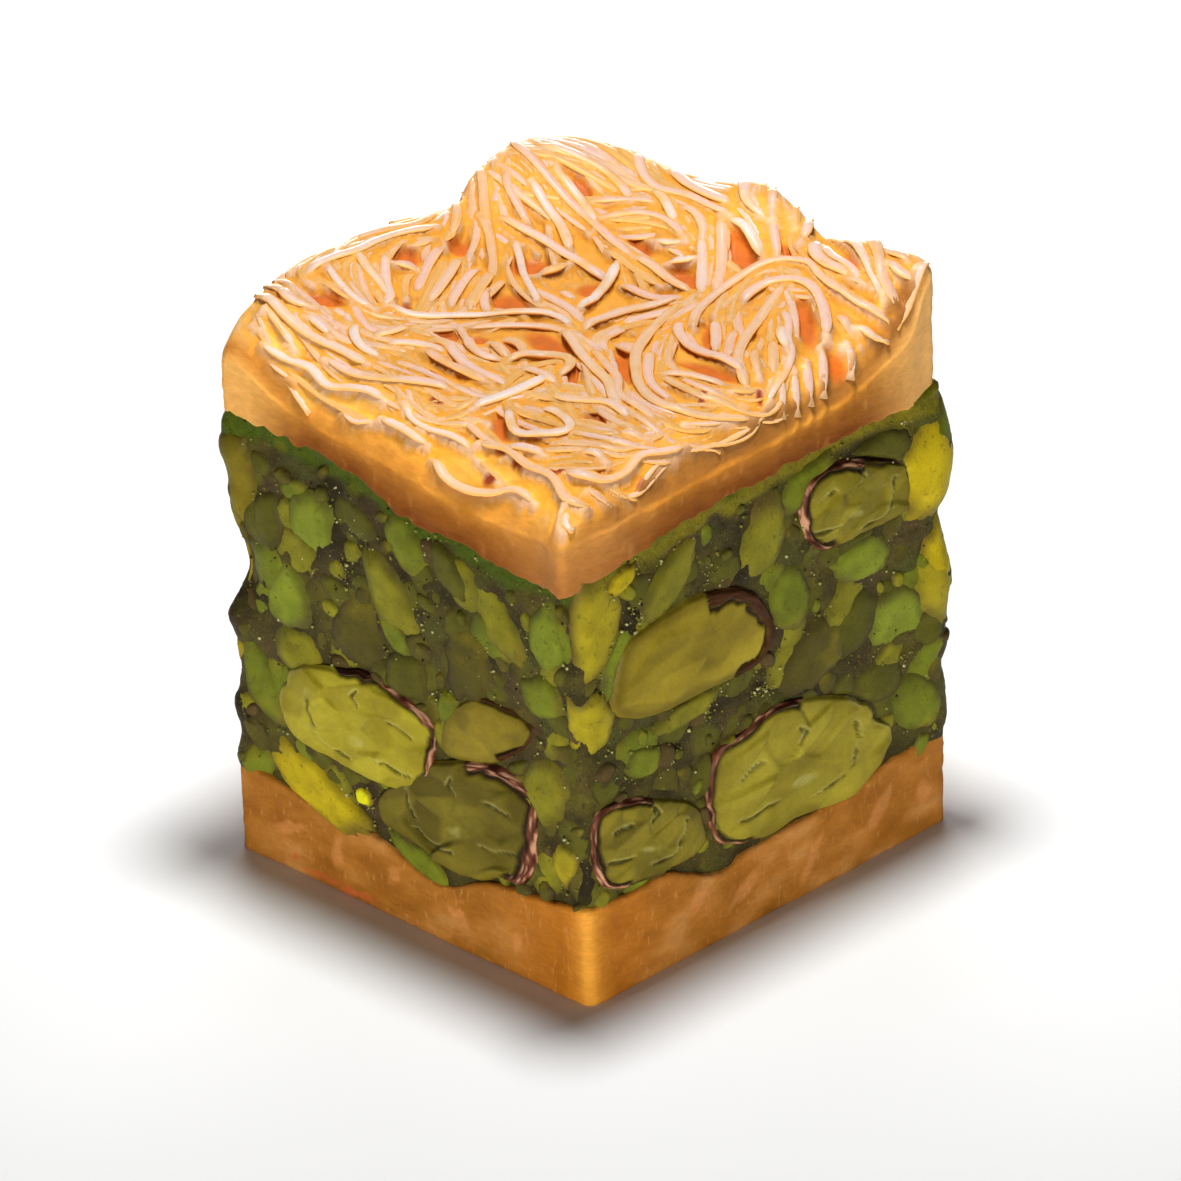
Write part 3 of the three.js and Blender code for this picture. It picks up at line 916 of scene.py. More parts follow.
THREAD_TONES = ((254, 206, 172), (255, 211, 190), (252, 203, 180), (253, 200, 150))
# nearly white of the palest threads; on the thread at the front corner it is a painted highlight
THREAD_WHITE = (255, 234, 224)
THREAD_UNDER = ((251, 194, 120), (253, 202, 150), (250, 188, 104), (252, 202, 170))
# amber of a thread's sides and underside: partly syrup at its foot, partly painted shade
THREAD_FOOT = (252, 188, 100)
THREAD_SYRUP = (252, 188, 94)
FOOT_LIGHT = 0.85
CREST_SLOPE = 0.6  # share of the lid's slope that shows in the light on a thread's crest

# The threads that lie on top, as the points (x, y) that each passes through. The first
# value says how pale it is: 0 as the others, 1 nearly white.
TOP_THREADS = (
    (0.1, (6.6, 4.6), (5.3, 6.5), (5.0, 8.5), (5.1, 10.5), (5.5, 12.3), (6.6, 13.6), (8.4, 14.1),
     (10.4, 13.2), (12.6, 12.6), (15.0, 12.6), (17.0, 13.4)),
    (0.0, (7.2, 8.6), (6.9, 10.3), (7.4, 11.8), (8.8, 12.5), (10.6, 12.2), (12.4, 11.2),
     (14.0, 10.0), (15.0, 8.9)),
    (0.2, (8.3, 11.8), (9.0, 9.8), (9.9, 7.7), (10.8, 5.6), (12.1, 3.5), (13.6, 2.2), (15.3, 1.0)),
    (0.1, (10.3, 9.6), (11.8, 8.6), (13.2, 7.1), (14.6, 6.0), (15.4, 4.6), (15.9, 3.0),
     (16.5, 1.4)),
    (0.8, (11.7, 8.0), (12.8, 7.0), (14.2, 6.1)),
    (0.0, (12.2, 5.0), (13.3, 3.8), (14.9, 2.6)),
    (0.1, (6.9, 6.5), (8.2, 5.3), (9.4, 4.1), (10.3, 3.1)),
    (0.2, (3.6, 6.8), (3.7, 5.0), (4.4, 2.9), (5.4, 1.0), (6.6, -0.8), (8.2, -2.4), (10.0, -3.9),
     (12.4, -4.7), (14.6, -4.2), (15.6, -3.0), (16.2, -1.4), (16.7, 0.2)),
    (0.0, (5.0, 5.2), (6.0, 3.9), (7.6, 3.0), (9.8, 2.5), (12.2, 2.4), (14.0, 2.1)),
    (0.3, (3.0, 7.5), (2.2, 5.7), (1.3, 4.1), (0.9, 2.5), (0.7, 0.9), (0.9, -0.3)),
    (0.0, (-2.4, 8.3), (-0.6, 8.3), (1.4, 8.0), (3.4, 8.1)),
    (0.0, (-1.6, 5.9), (0.2, 5.8), (1.9, 6.2), (3.4, 7.4)),
    (0.5, (0.4, 12.1), (1.6, 10.9), (2.9, 9.5), (4.2, 8.0)),
    (0.0, (0.7, 13.8), (2.2, 12.2), (3.6, 10.6), (4.8, 8.7)),
    (0.9, (1.3, 13.8), (2.6, 13.9), (4.0, 13.5), (5.3, 12.9)),
    (0.7, (-0.2, 9.1), (0.8, 9.9), (1.6, 10.7)),
    (0.6, (-1.8, 17.4), (0.2, 16.8), (1.1, 15.7), (2.2, 15.1), (4.0, 14.9)),
    (0.0, (1.8, 17.6), (2.9, 16.5), (4.0, 15.3), (5.2, 14.3), (6.3, 13.4)),
    (0.4, (7.0, 16.2), (8.4, 14.9), (10.4, 14.1), (12.9, 13.8)),
    (0.1, (8.0, 15.9), (9.9, 15.0), (12.0, 14.4), (13.8, 13.6)),
    (0.5, (8.7, 17.3), (10.3, 16.4), (12.1, 15.4), (14.0, 14.4), (16.0, 13.6)),
    (0.0, (11.2, 17.2), (13.0, 16.0), (14.8, 14.6), (16.8, 14.1)),
    (0.1, (5.3, 17.4), (6.2, 16.4), (6.7, 15.2)),
    (0.0, (-0.8, 17.4), (0.6, 16.2), (1.6, 15.2)),
    (0.8, (15.4, 11.2), (16.6, 11.8), (17.2, 12.6)),
    (0.6, (15.6, 10.0), (16.7, 9.6), (17.3, 8.8)),
    (0.2, (15.2, 8.2), (16.3, 7.3), (17.3, 6.2)),
    (0.2, (15.3, 6.6), (16.3, 5.8), (17.3, 4.9)),
    (0.4, (15.5, 5.2), (16.5, 4.3), (17.4, 3.5)),
    (0.3, (15.2, 4.1), (16.2, 3.3), (17.2, 2.3)),
    (0.1, (14.2, 15.6), (15.6, 15.4), (17.0, 15.7)),
    (0.3, (16.6, 17.0), (16.9, 15.3), (17.1, 13.4)),
    (0.0, (-17.2, 12.4), (-15.6, 10.7), (-13.0, 10.0), (-10.0, 9.6), (-7.2, 9.3), (-4.8, 8.7),
     (-2.4, 8.2)),
    (0.7, (-12.0, 10.7), (-10.0, 10.4), (-8.2, 9.9), (-6.6, 9.1)),
    (0.3, (-14.3, 11.8), (-12.2, 12.7), (-10.0, 13.3), (-8.0, 13.1), (-6.4, 12.3)),
    (0.0, (-8.6, 10.6), (-7.4, 11.8), (-6.0, 12.7), (-4.6, 13.1)),
    (0.1, (-7.0, 9.9), (-6.0, 11.1), (-4.5, 11.9), (-2.6, 12.0), (-0.6, 11.5)),
    (0.9, (-6.0, 14.1), (-4.4, 13.5), (-3.2, 12.8), (-1.9, 12.1)),
    (0.0, (-9.8, 16.6), (-7.8, 15.0), (-5.8, 14.3), (-3.2, 14.5), (-0.6, 14.2), (1.4, 14.1)),
    (0.0, (-6.6, 16.6), (-4.2, 15.6), (-1.8, 15.1), (0.6, 14.8)),
    (0.1, (-3.0, 13.6), (-1.2, 13.3), (0.2, 12.5), (1.0, 11.3)),
    (0.8, (-2.3, 10.2), (-1.2, 10.5), (-0.2, 11.2)),
    (0.0, (-14.6, 8.6), (-13.6, 7.6), (-12.0, 6.9), (-10.2, 6.2)),
    (0.7, (-12.6, 8.9), (-10.6, 8.2), (-8.8, 7.7), (-7.5, 7.0), (-6.4, 6.1)),
    (0.0, (-17.0, 8.5), (-15.4, 7.0), (-13.9, 5.5), (-12.5, 4.4)),
    (0.1, (-17.4, 6.2), (-15.9, 4.8), (-14.4, 3.2), (-13.4, 1.6)),
    (0.2, (-12.6, 5.5), (-10.8, 5.7), (-8.6, 5.9), (-6.4, 5.7), (-4.2, 5.7), (-2.2, 5.8)),
    (0.0, (-13.6, 4.8), (-12.0, 3.9), (-10.6, 2.7), (-9.2, 1.4), (-8.0, -0.1)),
    (0.5, (-10.2, 4.6), (-8.7, 3.5), (-7.0, 2.2), (-5.1, 1.0), (-3.2, -0.2)),
    (1.0, (-3.0, 7.3), (-2.2, 5.8), (-1.8, 4.2), (-1.4, 2.8), (-1.3, 1.4)),
    (0.1, (-5.5, 5.1), (-5.8, 3.8), (-6.5, 2.6)),
    (0.3, (-4.6, 3.0), (-3.4, 2.8), (-2.4, 2.9)),
    (0.4, (-14.6, 1.4), (-15.0, -1.4), (-15.1, -4.0), (-15.0, -6.2), (-15.5, -8.4), (-15.8, -10.8)),
    (0.0, (-12.9, 0.3), (-12.0, -1.9), (-10.9, -3.9), (-9.9, -5.6)),
    (0.1, (-11.4, 0.3), (-10.2, -1.9), (-9.2, -4.0), (-8.4, -5.9)),
    (0.0, (-9.9, 0.6), (-8.8, -2.0), (-7.8, -4.0), (-7.0, -5.2)),
    (0.0, (-8.6, 0.6), (-7.6, -1.6), (-6.7, -3.3), (-5.9, -4.4)),
    (0.3, (-7.2, -1.4), (-6.0, -2.8), (-4.6, -3.8)),
    (0.2, (-14.1, -4.0), (-12.9, -5.5), (-11.5, -6.9), (-10.4, -7.6), (-9.9, -8.8)),
    (0.6, (-14.9, -6.3), (-13.2, -6.9), (-11.6, -7.2), (-10.2, -7.7)),
    (0.1, (-12.9, -5.0), (-12.2, -4.0), (-11.3, -3.5)),
    (0.5, (-15.2, -9.0), (-13.6, -9.6), (-11.6, -9.8), (-10.0, -9.4)),
    (0.6, (-9.7, -8.2), (-8.3, -7.9), (-7.2, -6.9), (-6.0, -5.4), (-4.9, -4.1), (-3.7, -2.2),
     (-2.4, -0.9), (-0.9, -0.5), (0.6, -0.7)),
    (0.3, (-7.4, -8.6), (-7.5, -10.0), (-8.3, -11.8)),
    (0.9, (-9.9, -11.5), (-9.1, -12.5), (-7.7, -13.0), (-6.0, -12.9)),
    (0.3, (-7.1, -11.7), (-6.0, -10.5), (-4.6, -9.7), (-3.0, -9.4)),
    (0.1, (-5.6, -9.2), (-4.0, -8.6), (-2.4, -9.2), (-0.6, -9.7), (1.4, -9.6), (3.2, -9.7)),
    (0.0, (-4.6, -10.1), (-2.6, -10.4), (-0.4, -10.3), (1.8, -10.2)),
    (0.0, (-2.8, -4.7), (-0.9, -4.7), (0.8, -5.6)),
    (0.1, (-4.0, -6.5), (-2.6, -7.6), (-0.8, -8.0), (0.6, -7.3)),
    (0.1, (-2.4, -5.9), (-0.8, -6.5), (0.6, -6.9)),
    (0.4, (0.6, -7.6), (0.9, -5.8), (2.0, -4.6), (3.6, -4.3), (4.5, -5.2), (4.6, -6.6)),
    (0.2, (1.8, -7.7), (3.0, -7.2), (4.4, -7.1), (5.6, -7.3)),
    (0.9, (4.3, -6.9), (4.2, -8.4), (3.9, -10.2), (3.4, -11.8), (3.0, -13.2)),
    (0.4, (0.1, -1.3), (2.0, -2.3), (4.0, -3.4), (6.2, -4.3), (8.2, -5.0), (9.8, -6.2),
     (11.2, -6.8)),
    (0.0, (3.4, -1.9), (5.8, -3.0), (8.2, -4.2), (9.8, -5.7), (12.4, -6.1), (14.4, -6.6)),
    (0.0, (6.8, 0.4), (8.2, -1.2), (9.8, -2.8), (11.4, -3.6), (13.2, -3.7)),
    (0.1, (9.8, -2.1), (11.2, -1.0), (12.9, -0.3), (14.4, 0.4)),
    (0.4, (5.7, -8.3), (7.2, -8.5), (8.5, -7.8), (9.9, -7.0), (11.4, -7.1), (12.7, -7.5)),
    (0.6, (6.4, -9.9), (8.4, -10.0), (10.1, -10.6), (10.2, -11.6), (8.8, -12.6), (7.3, -13.1),
     (6.0, -12.4), (5.0, -11.5)),
    (0.5, (12.8, -12.5), (13.9, -12.1), (15.1, -12.1)),
    (0.2, (13.4, -14.3), (14.9, -14.2), (15.9, -13.1), (16.1, -11.4), (15.7, -9.5), (16.1, -7.7),
     (16.4, -5.9)),
    (0.3, (15.3, -5.0), (15.9, -3.5), (16.3, -1.7)),
    (0.2, (14.6, -0.4), (15.3, 1.0), (15.6, 1.9)),
    (0.1, (13.1, -9.2), (14.2, -8.8), (15.2, -8.2)),
    (0.6, (-13.0, -13.5), (-11.6, -13.4), (-10.3, -13.6)),
    (0.3, (-16.2, -13.0), (-14.4, -13.3), (-12.9, -12.7)),
    (0.6, (-17.2, -13.8), (-15.0, -14.3), (-12.2, -14.4), (-9.2, -14.0), (-6.4, -13.9)),
    (0.8, (-15.5, -14.9), (-13.7, -15.1), (-12.0, -15.5)),
    (0.7, (-14.4, -16.5), (-12.4, -16.2), (-10.2, -15.8), (-8.3, -16.1), (-6.3, -15.6),
     (-4.8, -15.3), (-3.3, -15.4)),
    (0.1, (-9.6, -14.9), (-7.6, -14.9), (-5.6, -14.6), (-3.6, -13.9), (-1.4, -13.0), (0.4, -12.4)),
    (0.2, (-13.4, -16.8), (-11.0, -16.7)),
    (0.3, (-6.2, -16.8), (-4.6, -16.9), (-3.2, -16.5)),
    (0.7, (-1.8, -14.8), (-0.6, -15.5), (1.2, -15.6), (3.2, -15.3), (5.6, -15.3)),
    (0.7, (-2.8, -16.3), (-0.6, -16.2), (1.8, -16.3)),
    (0.3, (2.6, -16.6), (4.5, -17.1), (6.7, -17.1), (8.7, -16.8), (10.5, -16.3), (12.5, -16.5)),
    (0.1, (5.5, -14.9), (7.9, -14.5), (10.3, -14.9), (12.7, -15.0), (15.2, -15.9), (16.7, -15.3)),
    # a painted highlight: the nearly white thread along the lid's front corner edge
    (1.0, (15.5, -16.4), (16.2, -17.0), (16.9, -17.1)),
    (0.3, (11.0, -13.8), (9.3, -13.9), (7.4, -14.2)),
)


def spline(points, step):
    """Evenly spaced points on a smooth curve through the given ones."""
    points = np.asarray(points, float)
    ends = np.vstack([2 * points[0] - points[1], points, 2 * points[-1] - points[-2]])
    dense = []
    shares = np.linspace(0, 1, 24, endpoint=False)[:, None]
    for a, b, c, d in zip(ends, ends[1:], ends[2:], ends[3:]):
        dense.append(
            0.5
            * (
                2 * b
                + (c - a) * shares
                + (2 * a - 5 * b + 4 * c - d) * shares**2
                + (3 * b - a - 3 * c + d) * shares**3
            )
        )
    dense = np.vstack(dense + [points[-1:]])
    gone = np.concatenate([[0], np.cumsum(np.linalg.norm(np.diff(dense, axis=0), axis=1))])
    places = np.linspace(0, gone[-1], max(4, round(gone[-1] / step) + 1))
    return np.stack([np.interp(places, gone, dense[:, k]) for k in range(2)], axis=-1)


class Grain:
    """The way the top threads lie round a place, for the ones under them to follow."""

    def __init__(self, curves):
        self.places = np.vstack([(curve[1:] + curve[:-1]) / 2 for curve in curves])
        steps = np.vstack([np.diff(curve, axis=0) for curve in curves])
        self.doubled = 2 * np.arctan2(steps[:, 1], steps[:, 0])

    def angle(self, x, y):
        square = (self.places[:, 0] - x) ** 2 + (self.places[:, 1] - y) ** 2
        weight = np.exp(-square / (2 * GRAIN_REACH**2)) + 1e-9
        return 0.5 * math.atan2(
            float(np.sum(weight * np.sin(self.doubled))),
            float(np.sum(weight * np.cos(self.doubled))),
        )


def wandering_path(grain, random):
    """A path from a random place along the grain, a little off its direction."""
    x, y = random.uniform(-FREE_EDGE, FREE_EDGE, 2)
    stray = random.normal(0, PATH_STRAY)
    bend = random.normal(0, PATH_BEND)
    path = [(x, y)]
    heading = grain.angle(x, y) + stray + math.pi * random.integers(2)
    for _ in range(int(random.uniform(*PATH_STEPS))):
        follow = grain.angle(x, y) + stray
        turn = (follow - heading + math.pi / 2) % math.pi - math.pi / 2
        heading += PATH_FOLLOW * turn + bend
        x += PATH_STEP * math.cos(heading)
        y += PATH_STEP * math.sin(heading)
        path.append((x, y))
    return spline(path, THREAD_STEP)


def beside(path, offset):
    """The same path moved to its left by an offset at each of its points."""
    ahead = np.gradient(path, axis=0)
    ahead /= np.linalg.norm(ahead, axis=1, keepdims=True)
    return path + offset[:, None] * np.stack([-ahead[:, 1], ahead[:, 0]], axis=-1)


def kept(path):
    """The first run of a path that stays on the lid and out of the hollows."""
    x, y = path.T
    good = (np.maximum(np.abs(x), np.abs(y)) < FREE_EDGE) & (hollow(x, y) < 0.4)
    good &= steepness(lid_top, x, y) < THREAD_STEEP
    if not good.any():
        return path[:0]
    start = int(np.argmax(good))
    bad = np.flatnonzero(~good[start:])
    return path[start : start + bad[0]] if len(bad) else path[start:]


class Pile:
    """Height of what has been laid on the lid so far, on a square grid."""

    def __init__(self, surface, radius):
        self.start = -HALF - 2
        axis = np.arange(self.start, HALF + 2, PILE_CELL)
        x, y = np.meshgrid(axis, axis, indexing="ij")
        inside = HALF - 0.1
        self.height = surface(np.clip(x, -inside, inside), np.clip(y, -inside, inside))
        reach = int(radius / PILE_CELL)
        i, j = np.meshgrid(*(np.arange(-reach, reach + 1),) * 2, indexing="ij")
        near = np.hypot(i, j) * PILE_CELL < radius
        self.i, self.j = i[near], j[near]
        distance = np.hypot(self.i, self.j) * PILE_CELL / radius
        self.dome = PILE_RISE * np.sqrt(1 - distance**2)

    def cells(self, path):
        i = np.rint((path[:, 0] - self.start) / PILE_CELL).astype(int)
        j = np.rint((path[:, 1] - self.start) / PILE_CELL).astype(int)
        return i[:, None] + self.i, j[:, None] + self.j

    def under(self, path):
        return self.height[self.cells(path)].max(axis=1)

    def lay(self, path, z):
        np.maximum.at(self.height, self.cells(path), z[:, None] + self.dome)

    def level(self, x, y, reach):
        """The pile's height, levelled out over this reach."""
        count = round(reach / PILE_CELL)
        steps = np.arange(-2 * count, 2 * count + 1)
        weight = np.exp(-((steps / count) ** 2))
        weight /= weight.sum()
        even = self.height
        for axis in range(2):
            margin = [(0, 0), (0, 0)]
            margin[axis] = (len(steps) // 2,) * 2
            padded = np.pad(even, margin, mode="edge")
            runs = np.lib.stride_tricks.sliding_window_view(padded, len(steps), axis)
            even = runs @ weight
        i = np.clip((x - self.start) / PILE_CELL, 0, len(even) - 1.001)
        j = np.clip((y - self.start) / PILE_CELL, 0, len(even) - 1.001)
        low_i, low_j = i.astype(int), j.astype(int)
        i, j = i - low_i, j - low_j
        near = even[low_i, low_j] * (1 - j) + even[low_i, low_j + 1] * j
        far = even[low_i + 1, low_j] * (1 - j) + even[low_i + 1, low_j + 1] * j
        return near * (1 - i) + far * i


def eased(values, reach=2):
    """Running highest value, then a running mean: how a stiff thread rides over others."""
    padded = np.pad(values, reach, mode="edge")
    high = np.max([padded[k : k + len(values)] for k in range(2 * reach + 1)], axis=0)
    padded = np.pad(high, reach, mode="edge")
    return np.mean([padded[k : k + len(values)] for k in range(2 * reach + 1)], axis=0)


def from_ends(path):
    count = np.arange(len(path))
    return np.minimum(count, count[::-1]) * THREAD_STEP


def edge_distance(path):
    return HALF - np.max(np.abs(path), axis=1)


def add_thread(pieces, path, z, width, tone, seed):
    """A flattened thread: thin at free ends, cut off flat at the block's sides."""
    centres = np.column_stack([path, z])
    ahead = np.gradient(centres, axis=0)
    ahead /= np.linalg.norm(ahead, axis=1, keepdims=True)
    side = np.cross(ahead, (0, 0, 1.0))
    side /= np.linalg.norm(side, axis=1, keepdims=True)
    lift = np.cross(side, ahead)
    swell = 1 + THREAD_SWELL * noise(centres, 1.7, seed)
    taper = np.sqrt(smooth(-0.2, 1.1, from_ends(path)))
    taper = np.maximum(taper, smooth(1.0, 0.5, edge_distance(path)))
    radius = width / 2 * swell * taper
    angle = np.arange(THREAD_SIDES) / THREAD_SIDES * 2 * math.pi
    rings = (
        centres[:, None]
        + (radius[:, None] * np.cos(angle))[..., None] * side[:, None]
        + (radius[:, None] * np.sin(angle) * THREAD_FLATNESS)[..., None] * lift[:, None]
    )
    syrup = smooth(0.0, 0.7, fractal(rings, 2.2, 2, seed + 3)) * 0.7
    colours = mix(tone, THREAD_SYRUP, syrup)
    # Pale along each thread's crest, amber on its sides and underside: partly syrup at its foot,
    # partly painted light on the crest and painted shade on the sides.
    upper = np.broadcast_to(smooth(0.1, 0.8, np.sin(angle)), syrup.shape)
    colours = mix(THREAD_FOOT, colours, upper)
    fade = smooth(0.9, 0.0, from_ends(path))[:, None] * 0.5
    colours = mix(colours, THREAD_SYRUP, np.broadcast_to(fade, syrup.shape))
    bright = top_light(CREST_SLOPE * steepness(lid_top, *path.T))[:, None]
    light = FOOT_LIGHT + (bright - FOOT_LIGHT) * smooth(-0.1, 0.9, np.sin(angle))
    pieces.add(centres[0], rings, centres[-1], colours, light)


def lay_thread(pile, path, width, sunk, limit):
    """Heights of a thread's middle line where it comes to rest on the pile."""
    z = eased(pile.under(path)) + width * THREAD_FLATNESS * (0.5 - sunk)
    z = z - END_DROP * smooth(1.2, 0.0, from_ends(path))
    crown = lid_top(path[:, 0], path[:, 1])
    z = np.minimum(z, crown + limit * smooth(0.2, EDGE_RUN, edge_distance(path)))
    pile.lay(path, z)
    return z


def threads():
    random = np.random.default_rng(5)
    curves = [spline(points, THREAD_STEP) for _, *points in TOP_THREADS]
    grain = Grain(curves)
    pile = Pile(body_top, PILE_RADIUS)
    under = Pieces()
    for bundle in range(BUNDLES):
        middle = wandering_path(grain, random)
        count = int(random.integers(*BUNDLE_THREADS))
        spacing = BUNDLE_SPACING * random.uniform(0.8, 1.4)
        close = np.linspace(1, random.uniform(0.2, 1.2), len(middle))
        for number in range(count):
            path = kept(beside(middle, spacing * (number - (count - 1) / 2) * close))
            trim = random.integers(0, 5, 2)
            path = path[trim[0] : len(path) - trim[1]]
            if len(path) < SHORTEST:
                continue
            front = float(smooth(-12.8, -15.8, path[:, 1].mean()))
            if random.random() < FRONT_BARE * front:
                continue
            tones = THREAD_TONES if random.random() < 0.5 else THREAD_UNDER
            tone = tones[random.integers(len(tones))]
            width = random.uniform(*THREAD_WIDTHS)
            sunk = THREAD_SUNK + FRONT_SUNK * front
            z = lay_thread(pile, path, width, sunk, random.uniform(*UNDER_LIMIT))
            add_thread(under, path, z, width, tone, 10 * bundle + number)
    under.make("threads_under", THREAD, "glazed_threads", "top_pastry")
    over = Pieces()
    for index, (pale, *_) in enumerate(TOP_THREADS):
        path = curves[index]
        path = path[edge_distance(path) > HALF - FREE_EDGE]
        width = random.uniform(*TOP_THREAD_WIDTHS)
        tone = mix(THREAD_TONES[random.integers(len(THREAD_TONES))], THREAD_WHITE, pale)
        z = lay_thread(pile, path, width, THREAD_SUNK, TOP_LIMIT)
        add_thread(over, path, z, width, tone, 9000 + index)
    over.make("threads_over", THREAD, "glazed_threads", "top_pastry")
    return pile


# ---- Filling --------------------------------------------------------------------------

PASTE_STEP = 0.26
PASTE_ROWS = 100
PASTE_INTO_LID = 0.3  # how far the paste fills the ragged underside of the lid
PASTE_BROAD = (0.22, 4.0)  # height and size of its bumps
PASTE_FINE = (0.26, 1.3)

PASTE_STOPS = (
    (0.0, (44, 36, 18)),
    (0.3, (60, 51, 24)),
    (0.6, (76, 67, 28)),
    (1.0, (94, 86, 28)),
)
PASTE_PURPLE = (76, 59, 40)
PASTE_GREEN = (76, 80, 32)
RIM_GREEN = (70, 86, 14)
RIM_BROWN = (128, 116, 22)
PASTE_SHADOW = (52, 45, 17)

# Bumps and dents of the filling at the left and right corners: place, radius, size.
Bump = namedtuple("Bump", "x y z radius out")
CORNER_BUMPS = (
    Bump(-17.4, -17.4, 33.6, 2.4, 0.8),
    Bump(-17.4, -17.4, 28.9, 1.8, 0.4),
    Bump(-17.4, -17.4, 23.4, 2.2, -1.1),
    Bump(-17.4, -17.4, 19.0, 1.6, 0.8),
    Bump(-17.4, -17.4, 15.7, 1.6, 0.1),
    Bump(-17.4, -17.4, 11.8, 2.0, 0.8),
    Bump(-17.4, -17.4, 7.5, 1.4, 0.8),
    Bump(17.4, 17.4, 30.4, 4.0, 1.1),
    Bump(17.4, 17.4, 25.3, 1.3, -0.2),
    Bump(17.4, 17.4, 20.4, 2.6, 1.0),
    Bump(17.4, 17.4, 15.5, 2.2, 0.8),
    Bump(17.4, 17.4, 9.6, 3.0, 0.8),
)


def paste_floor(x, y):
    return base_top(x, y) - OVERLAP


def paste_top(x, y):
    return lid_floor(x, y) + OVERLAP + PASTE_INTO_LID


def corner_push(points):
    """How far the bumps of the left and right corners push the filling out at these points."""
    push = np.zeros(points.shape[:-1])
    for bump in CORNER_BUMPS:
        distance = np.linalg.norm(points - (bump.x, bump.y, bump.z), axis=-1) / bump.radius
        push = push + bump.out * np.exp(-distance * distance)
    return push


def paste_relief(wall):
    (broad, broad_size), (fine, fine_size) = PASTE_BROAD, PASTE_FINE
    grain = broad * fractal(wall, broad_size, 2, 50) + fine * fractal(wall, fine_size, 3, 52)
    return grain + corner_push(wall)


def paste_core():
    rings, _, _, _ = slab(
        floor=paste_floor,
        top=paste_top,
        inset=PASTE_INSET,
        step=PASTE_STEP,
        rows=PASTE_ROWS,
        crest=0.3,
        cap_rings=5,
        relief=paste_relief,
    )
    colours = ramp(0.5 + 1.0 * fractal(rings, 2.4, 4, 60), PASTE_STOPS)
    colours = mix(colours, PASTE_PURPLE, smooth(0.0, 0.5, fractal(rings, 3.4, 3, 63)) * 0.6)
    colours = mix(colours, PASTE_GREEN, smooth(0.1, 0.5, fractal(rings, 2.8, 3, 64)) * 0.6)
    x, y, z = (rings[..., k] for k in range(3))
    below_lid = lid_floor(x, y) - z
    rim = smooth(1.9, 1.0, below_lid + 0.7 * noise(rings, 1.5, 61))
    brown = fractal(rings, 3.0, 2, 66) + 0.5 * np.sign(x + y)
    colours = mix(colours, mix(RIM_GREEN, RIM_BROWN, smooth(-0.3, 0.3, brown)), rim * 0.9)
    above_base = z - base_top(x, y)
    foot = smooth(1.0, 0.2, above_base + 0.5 * noise(rings, 1.2, 62))
    colours = mix(colours, PASTE_SHADOW, foot * 0.6)
    pieces = layer(rings, paste_floor, paste_top, colours)
    pieces.make("nut_paste", PASTE, "nut_filling", "pistachio_filling")


# Colours of cut nuts: middle, rim.
NUT_TONES = {
    "bright": ((122, 132, 34), (100, 106, 28)),
    "green": ((108, 115, 27), (85, 88, 24)),
    "olive": ((126, 120, 28), (97, 92, 25)),
    "dim": ((88, 84, 24), (70, 65, 22)),
    "paste": ((84, 76, 26), (68, 60, 24)),
    "brown": ((86, 70, 34), (66, 52, 28)),
    "yellow": ((186, 163, 22), (142, 124, 20)),
    "lime": ((160, 144, 28), (124, 112, 26)),
    "amber": ((120, 104, 22), (98, 86, 20)),
    "lemon": ((228, 222, 24), (176, 160, 22)),
    "hole": ((26, 20, 12), (36, 28, 18)),
}
NUT_END = (146, 132, 26)  # paler end that many chopped nuts have
NUT_END_TONES = ("olive", "paste", "green")
NUT_END_SHARE = 0.45
# painted shade in the crevice round each chopped nut's rim, and how much of it
NUT_CREVICE_SHADE = (40, 33, 22)
NUT_CREVICE_SHADE_SHARE = 0.7
NUT_VEIL = 0.7  # share of paste on a nut's rim
NUT_MOTTLE = 0.14
NUT_LUMPS = 0.10
NUT_SLOPE = 0.04
KERNEL_PRESS = 0.6  # how far a whole kernel presses chopped nuts back into the paste
KERNEL_PRESS_FADE = (1.04, 0.84)  # from where to where, in halves of the kernel's size
NUT_LEVEL = -0.62  # the edge of a nut's cut face, under the paste's surface

